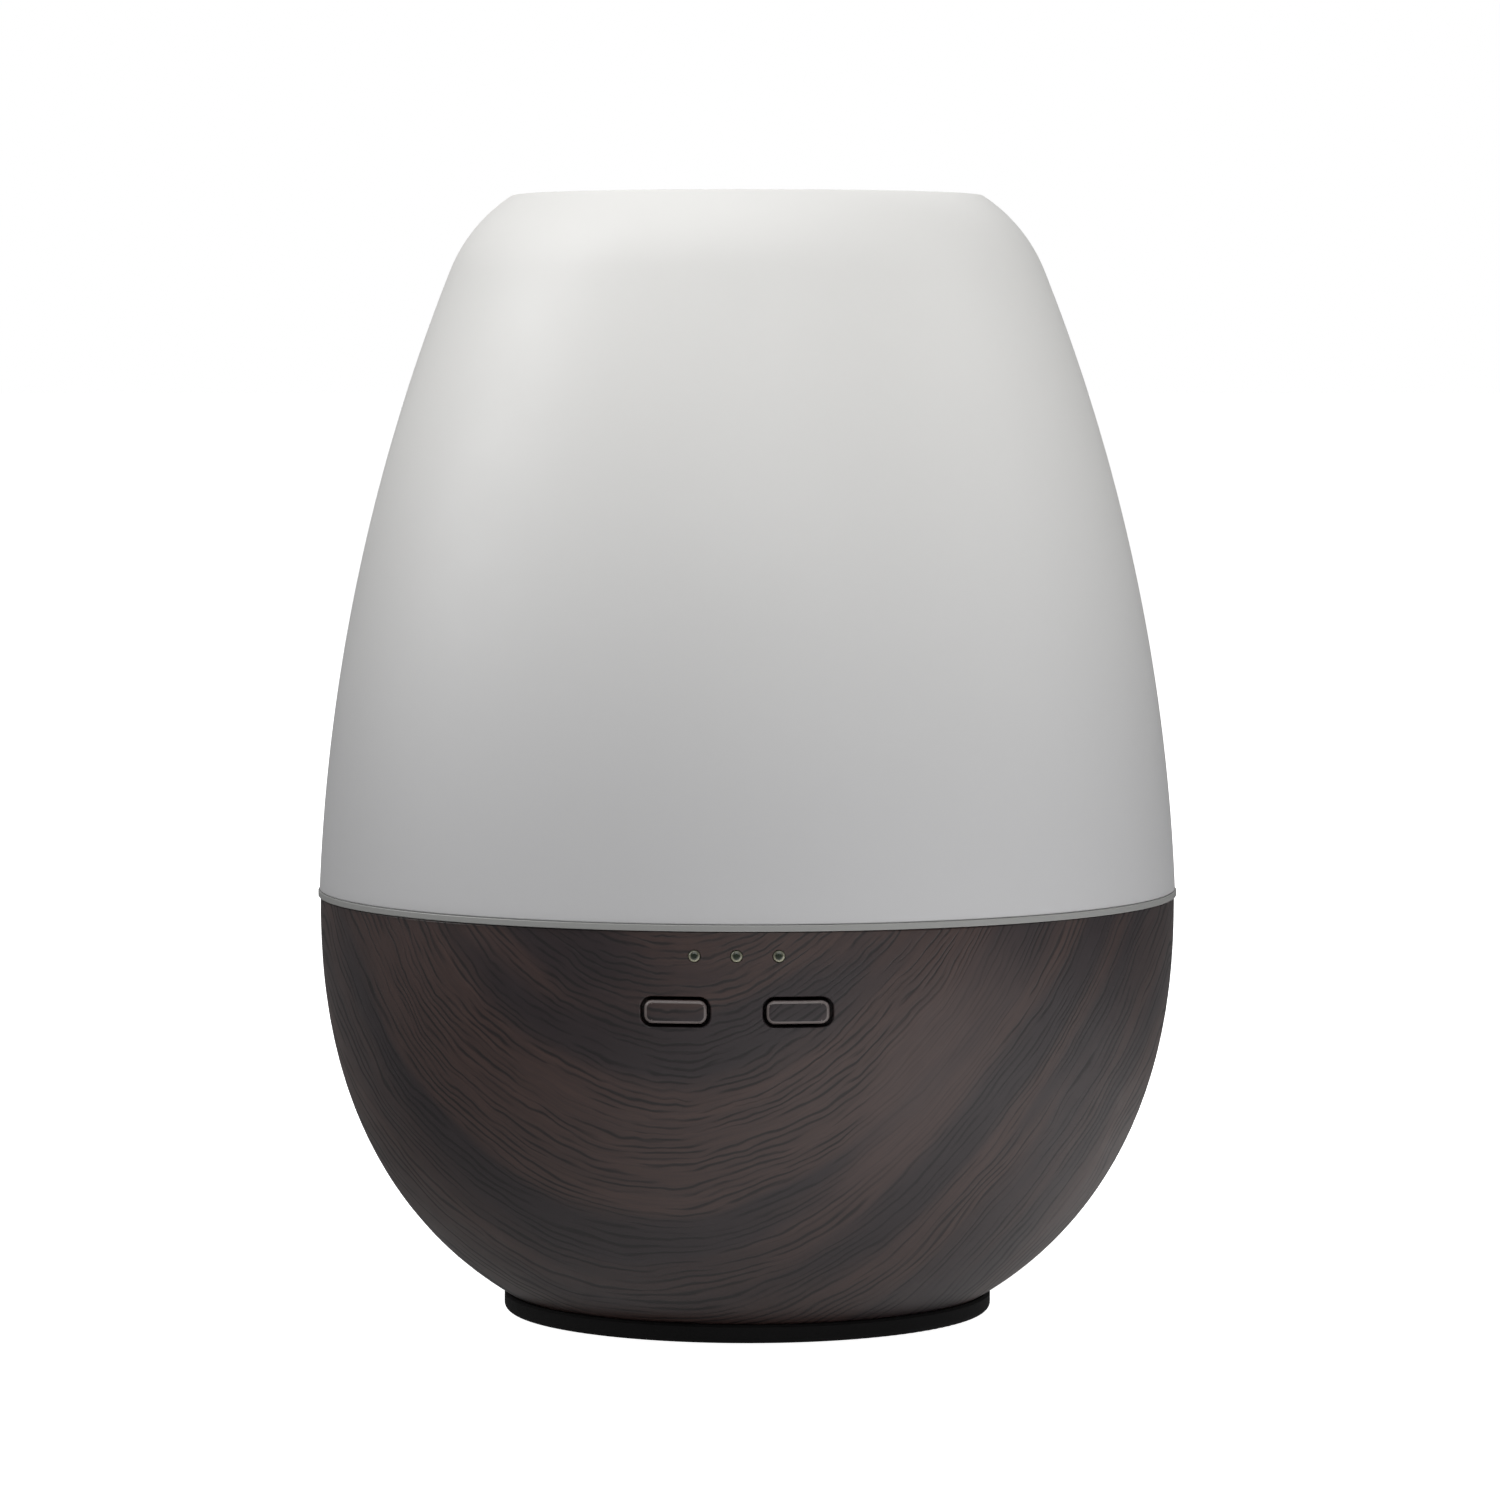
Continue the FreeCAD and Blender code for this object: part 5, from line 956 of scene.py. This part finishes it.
# %% [markdown]
# ## The lenses
# Seen from the front a lens shows the dark hole behind its middle, and a pale ring where its rounded edge
# turns the room's light towards the eye. Real glass shading would need a long render to show that in two
# millimetres, and the exported model could not hold it. Colour by distance from each lens's own axis
# gives it at once.

# %% Clear acrylic lenses
# painted highlight and painted shade: a pale ring for light turned by each lens's rounded edge, and a dark
# middle for the shade in the hole behind it
LENS_HIGHLIGHT_RING = (0.36, 0.35, 0.26)
LENS_SHADED_MIDDLE = ((0.006, 0.010, 0.006), (0.024, 0.032, 0.020))
RING_FROM = 0.45 * LENS_RADIUS
RING_FULL = 0.80 * LENS_RADIUS
RING_TOP = 0.6 * LENS_RADIUS     # above this the ring is at its dimmest
RING_FOOT = -0.8 * LENS_RADIUS
HIGHLIGHT_DIMMEST = 0.30
CLOUD_SCALE = 1.6

made["clear_acrylic"], tree, shader = finish("clear_acrylic", (0.40, 0.41, 0.32), 0.12, ior=1.49)
spread = node(tree, "SeparateXYZ", {0: millimetres(tree)}).outputs
shifted = maths(tree, "ADD", spread["X"], LENS_PITCH / 2)
aside = maths(tree, "SUBTRACT", spread["X"], maths(tree, "SNAP", shifted, LENS_PITCH))
above_axis = maths(tree, "SUBTRACT", spread["Z"], LENS_HEIGHT)
# painted highlight: the pale ring, dimmer towards its top; painted shade in the middle
highlight_mask = stretch(tree, distance(tree, aside, above_axis), RING_FROM, RING_FULL)
lower = stretch(tree, above_axis, RING_TOP, RING_FOOT, HIGHLIGHT_DIMMEST, 1.0)
cloud = noise(tree, millimetres(tree), CLOUD_SCALE)
middle = blend_colours(tree, cloud, *((*shade, 1.0) for shade in LENS_SHADED_MIDDLE))
lens_painted_light = blend_colours(tree, maths(tree, "MULTIPLY", highlight_mask, lower), middle, (*LENS_HIGHLIGHT_RING, 1.0))
tree.links.new(lens_painted_light, shader.inputs["Base Color"])
tree.links.new(stretch(tree, cloud, 0.3, 0.7, 0.08, 0.18), shader.inputs["Roughness"])
print(len(made), "finishes in all")

# %% [markdown]
# ## Every part gets its finish
# A CAD part's material slots carry the names of its plastics and metals, sometimes with a number after a
# dot, so the name before the dot finds the finish. The new pieces have no slots yet. A cap's edge faces
# are those that look part of the way forward, between the flat face and the flat sides.

# %% Putting the finishes on
EDGE_FACING = (-0.93, -0.25)
EDGE_OFF_BACK = 2.0              # millimetres in front of the cap's back

for part in nodes.values():
    for place in part.material_slots:
        place.material = made[place.material.name.split(".")[0]]
new_pieces = [(dome, "frosted_white"), (outlet, "inner_white"), (lenses, "clear_acrylic")]
new_pieces += [(cap, "wood_print") for cap in caps.values()]
for piece, slot in new_pieces:
    piece.data.materials.clear()
    piece.data.materials.append(made[slot])
# the caps' rounded edge faces take the painted highlight
for cap in caps.values():
    cap.data.materials.append(painted_edge_highlight)
    for face in cap.data.polygons:
        turned_forward = EDGE_FACING[0] < face.normal.y < EDGE_FACING[1]
        in_front = face.center.y < (CAP_BACK - EDGE_OFF_BACK) * MM
        face.material_index = int(turned_forward and in_front)
print(sorted({place.material.name for part in nodes.values() for place in part.material_slots}))

# %% [markdown]
# ## Floor
# A studio floor is lit far past the object, so the camera sees it paler than the light it throws back up.
# The Light Path node tells the two apart. For other rays the floor is bright only in a pool in front and
# to the right, which lifts the lower bowl there and leaves its left side dark. Seen from below it is
# clear, so that the underside can be looked at too.

# %% Floor
FLOOR_SIZE = 60.0                # metres
FLOOR_CUTS = 9
POOL_CENTRE = (210.0, -190.0, 0.0)    # millimetres
POOL_INNER = 70.0
POOL_OUTER = 400.0
POOL_GLOW = 0.60
PAPER_SEEN = (0.88, 0.92)        # the greys between which the paper is speckled
PAPER_THROWN = (0.20, 0.95)      # what it throws back outside the pool and in it
SPECKLE_SCALE = 0.02

floor = new_piece("floor", bpy.ops.mesh.primitive_plane_add, size=FLOOR_SIZE)
edit()
bpy.ops.mesh.subdivide(number_cuts=FLOOR_CUTS)
done_editing()
floor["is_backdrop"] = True
paper, tree, shader = finish("pale_paper", (0.9, 0.9, 0.9), 0.8, ior=1.2)
seen = node(tree, "LightPath").outputs["Is Camera Ray"]
speckle = noise(tree, millimetres(tree), SPECKLE_SCALE)
shade = blend_colours(tree, speckle, *((grey, grey, grey, 1.0) for grey in PAPER_SEEN))
away = node(tree, "VectorMath", {0: millimetres(tree), 1: POOL_CENTRE}, operation="DISTANCE")
pool = stretch(tree, away.outputs["Value"], POOL_OUTER, POOL_INNER)
thrown = blend_colours(tree, pool, *((grey, grey, grey, 1.0) for grey in PAPER_THROWN))
tree.links.new(blend_colours(tree, seen, thrown, shade), shader.inputs["Base Color"])
shader.inputs["Emission Color"].default_value = (1.0, 1.0, 1.0, 1.0)
glow = maths(tree, "MAXIMUM", maths(tree, "MULTIPLY", pool, POOL_GLOW), seen)
tree.links.new(glow, shader.inputs["Emission Strength"])
under = node(tree, "NewGeometry").outputs["Backfacing"]
clear = node(tree, "BsdfTransparent").outputs[0]
surface = node(tree, "MixShader", {0: under, 1: shader.outputs[0], 2: clear}).outputs[0]
tree.links.new(surface, tree.nodes["Material Output"].inputs["Surface"])
floor.data.materials.append(paper)
print(floor.name, len(floor.data.polygons), "faces")

# %% [markdown]
# ## The room and its lamps
# The room is pale at the back and on the right, where it draws the soft rims on the bowl, and dim in
# front and on the left. Five broad lamps stand far off, so their light is soft: one above for the dome's
# bright top, one in front, one high on each side and a weak one behind.

# %% The room
ROOM_FRONT = 0.10
ROOM_BACK = 0.42
ROOM_LEFT = 0.10
ROOM_RIGHT = 0.50
FRONT_TO_BACK = (-0.1, 0.8)
LEFT_TO_RIGHT = (-0.9, 0.9)

room = bpy.data.worlds.new("pale_room")
bpy.context.scene.world = room
room.use_nodes = True
tree = room.node_tree
background = tree.nodes["Background"]
background.inputs["Color"].default_value = (1.0, 1.0, 1.0, 1.0)
towards = node(tree, "SeparateXYZ", {0: node(tree, "TexCoord").outputs["Generated"]}).outputs
by_depth = stretch(tree, towards["Y"], *FRONT_TO_BACK, ROOM_FRONT, ROOM_BACK)
by_side = stretch(tree, towards["X"], *LEFT_TO_RIGHT, ROOM_LEFT, ROOM_RIGHT)
seen = node(tree, "LightPath").outputs["Is Camera Ray"]
strength = maths(tree, "MAXIMUM", maths(tree, "MULTIPLY", by_depth, by_side), seen)
tree.links.new(strength, background.inputs["Strength"])
print(room.name, len(tree.nodes), "nodes")

# %% Lamps
lamps = {  # name: place, aimed at, width, height, watts
    "top_lamp": ((0.0, -0.5, 1.7), (0.0, 0.1, 0.1), 1.6, 1.6, 15.5),
    "front_lamp": ((0.2, -2.4, 1.3), (0.0, 0.0, 0.1), 2.4, 1.6, 24.0),
    "left_lamp": ((-1.6, 0.0, 1.2), (0.0, 0.0, 0.1), 1.0, 1.6, 22.0),
    "back_lamp": ((0.3, 1.6, 1.5), (0.0, 0.0, 0.1), 1.6, 1.0, 6.0),
    "right_lamp": ((1.6, 0.0, 1.2), (0.0, 0.0, 0.1), 1.0, 1.6, 8.5),
}
for name, (place, aim, width, height, watts) in lamps.items():
    let_go()
    bpy.ops.object.light_add(type="AREA", location=place)
    lamp = bpy.context.object
    lamp.name = name
    lamp.data.shape = "RECTANGLE"
    lamp.data.size = width
    lamp.data.size_y = height
    lamp.data.energy = watts
    lamp.rotation_euler = (Vector(aim) - Vector(place)).to_track_quat("-Z", "Y").to_euler()
print(len(lamps), "lamps,", sum(row[-1] for row in lamps.values()), "W")

# %% [markdown]
# ## Camera
# The camera stands a little above the object's middle and looks down by a few degrees, which shows the
# front of the band as a shallow curve. A long lens from about a metre keeps the sides nearly parallel.

# %% Camera
CAMERA_DISTANCE = 1.1144         # metres
CAMERA_HEIGHT = 0.17145
CAMERA_TURN = math.radians(1.35)
CAMERA_TILT = math.radians(3.54)
LENS_LENGTH = 149.19             # millimetres
SENSOR_WIDTH = 36.0
SHIFT_ASIDE = 0.0018

let_go()
bpy.ops.object.camera_add(location=(CAMERA_DISTANCE * math.sin(CAMERA_TURN),
                                    -CAMERA_DISTANCE * math.cos(CAMERA_TURN), CAMERA_HEIGHT))
camera = bpy.context.object
camera.rotation_euler = (math.pi / 2 - CAMERA_TILT, 0.0, CAMERA_TURN)
camera.data.lens = LENS_LENGTH
camera.data.sensor_width = SENSOR_WIDTH
camera.data.shift_x = SHIFT_ASIDE
bpy.context.scene.camera = camera
bpy.context.scene.view_settings.view_transform = "Standard"
print("camera at", [round(v, 3) for v in camera.location])

# %% [markdown]
# ## Size
# The finished model is meant to fill the CAD model's box and no more. This cell measures the box that
# everything shown fills.

# %% Sizes and finish
low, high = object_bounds()
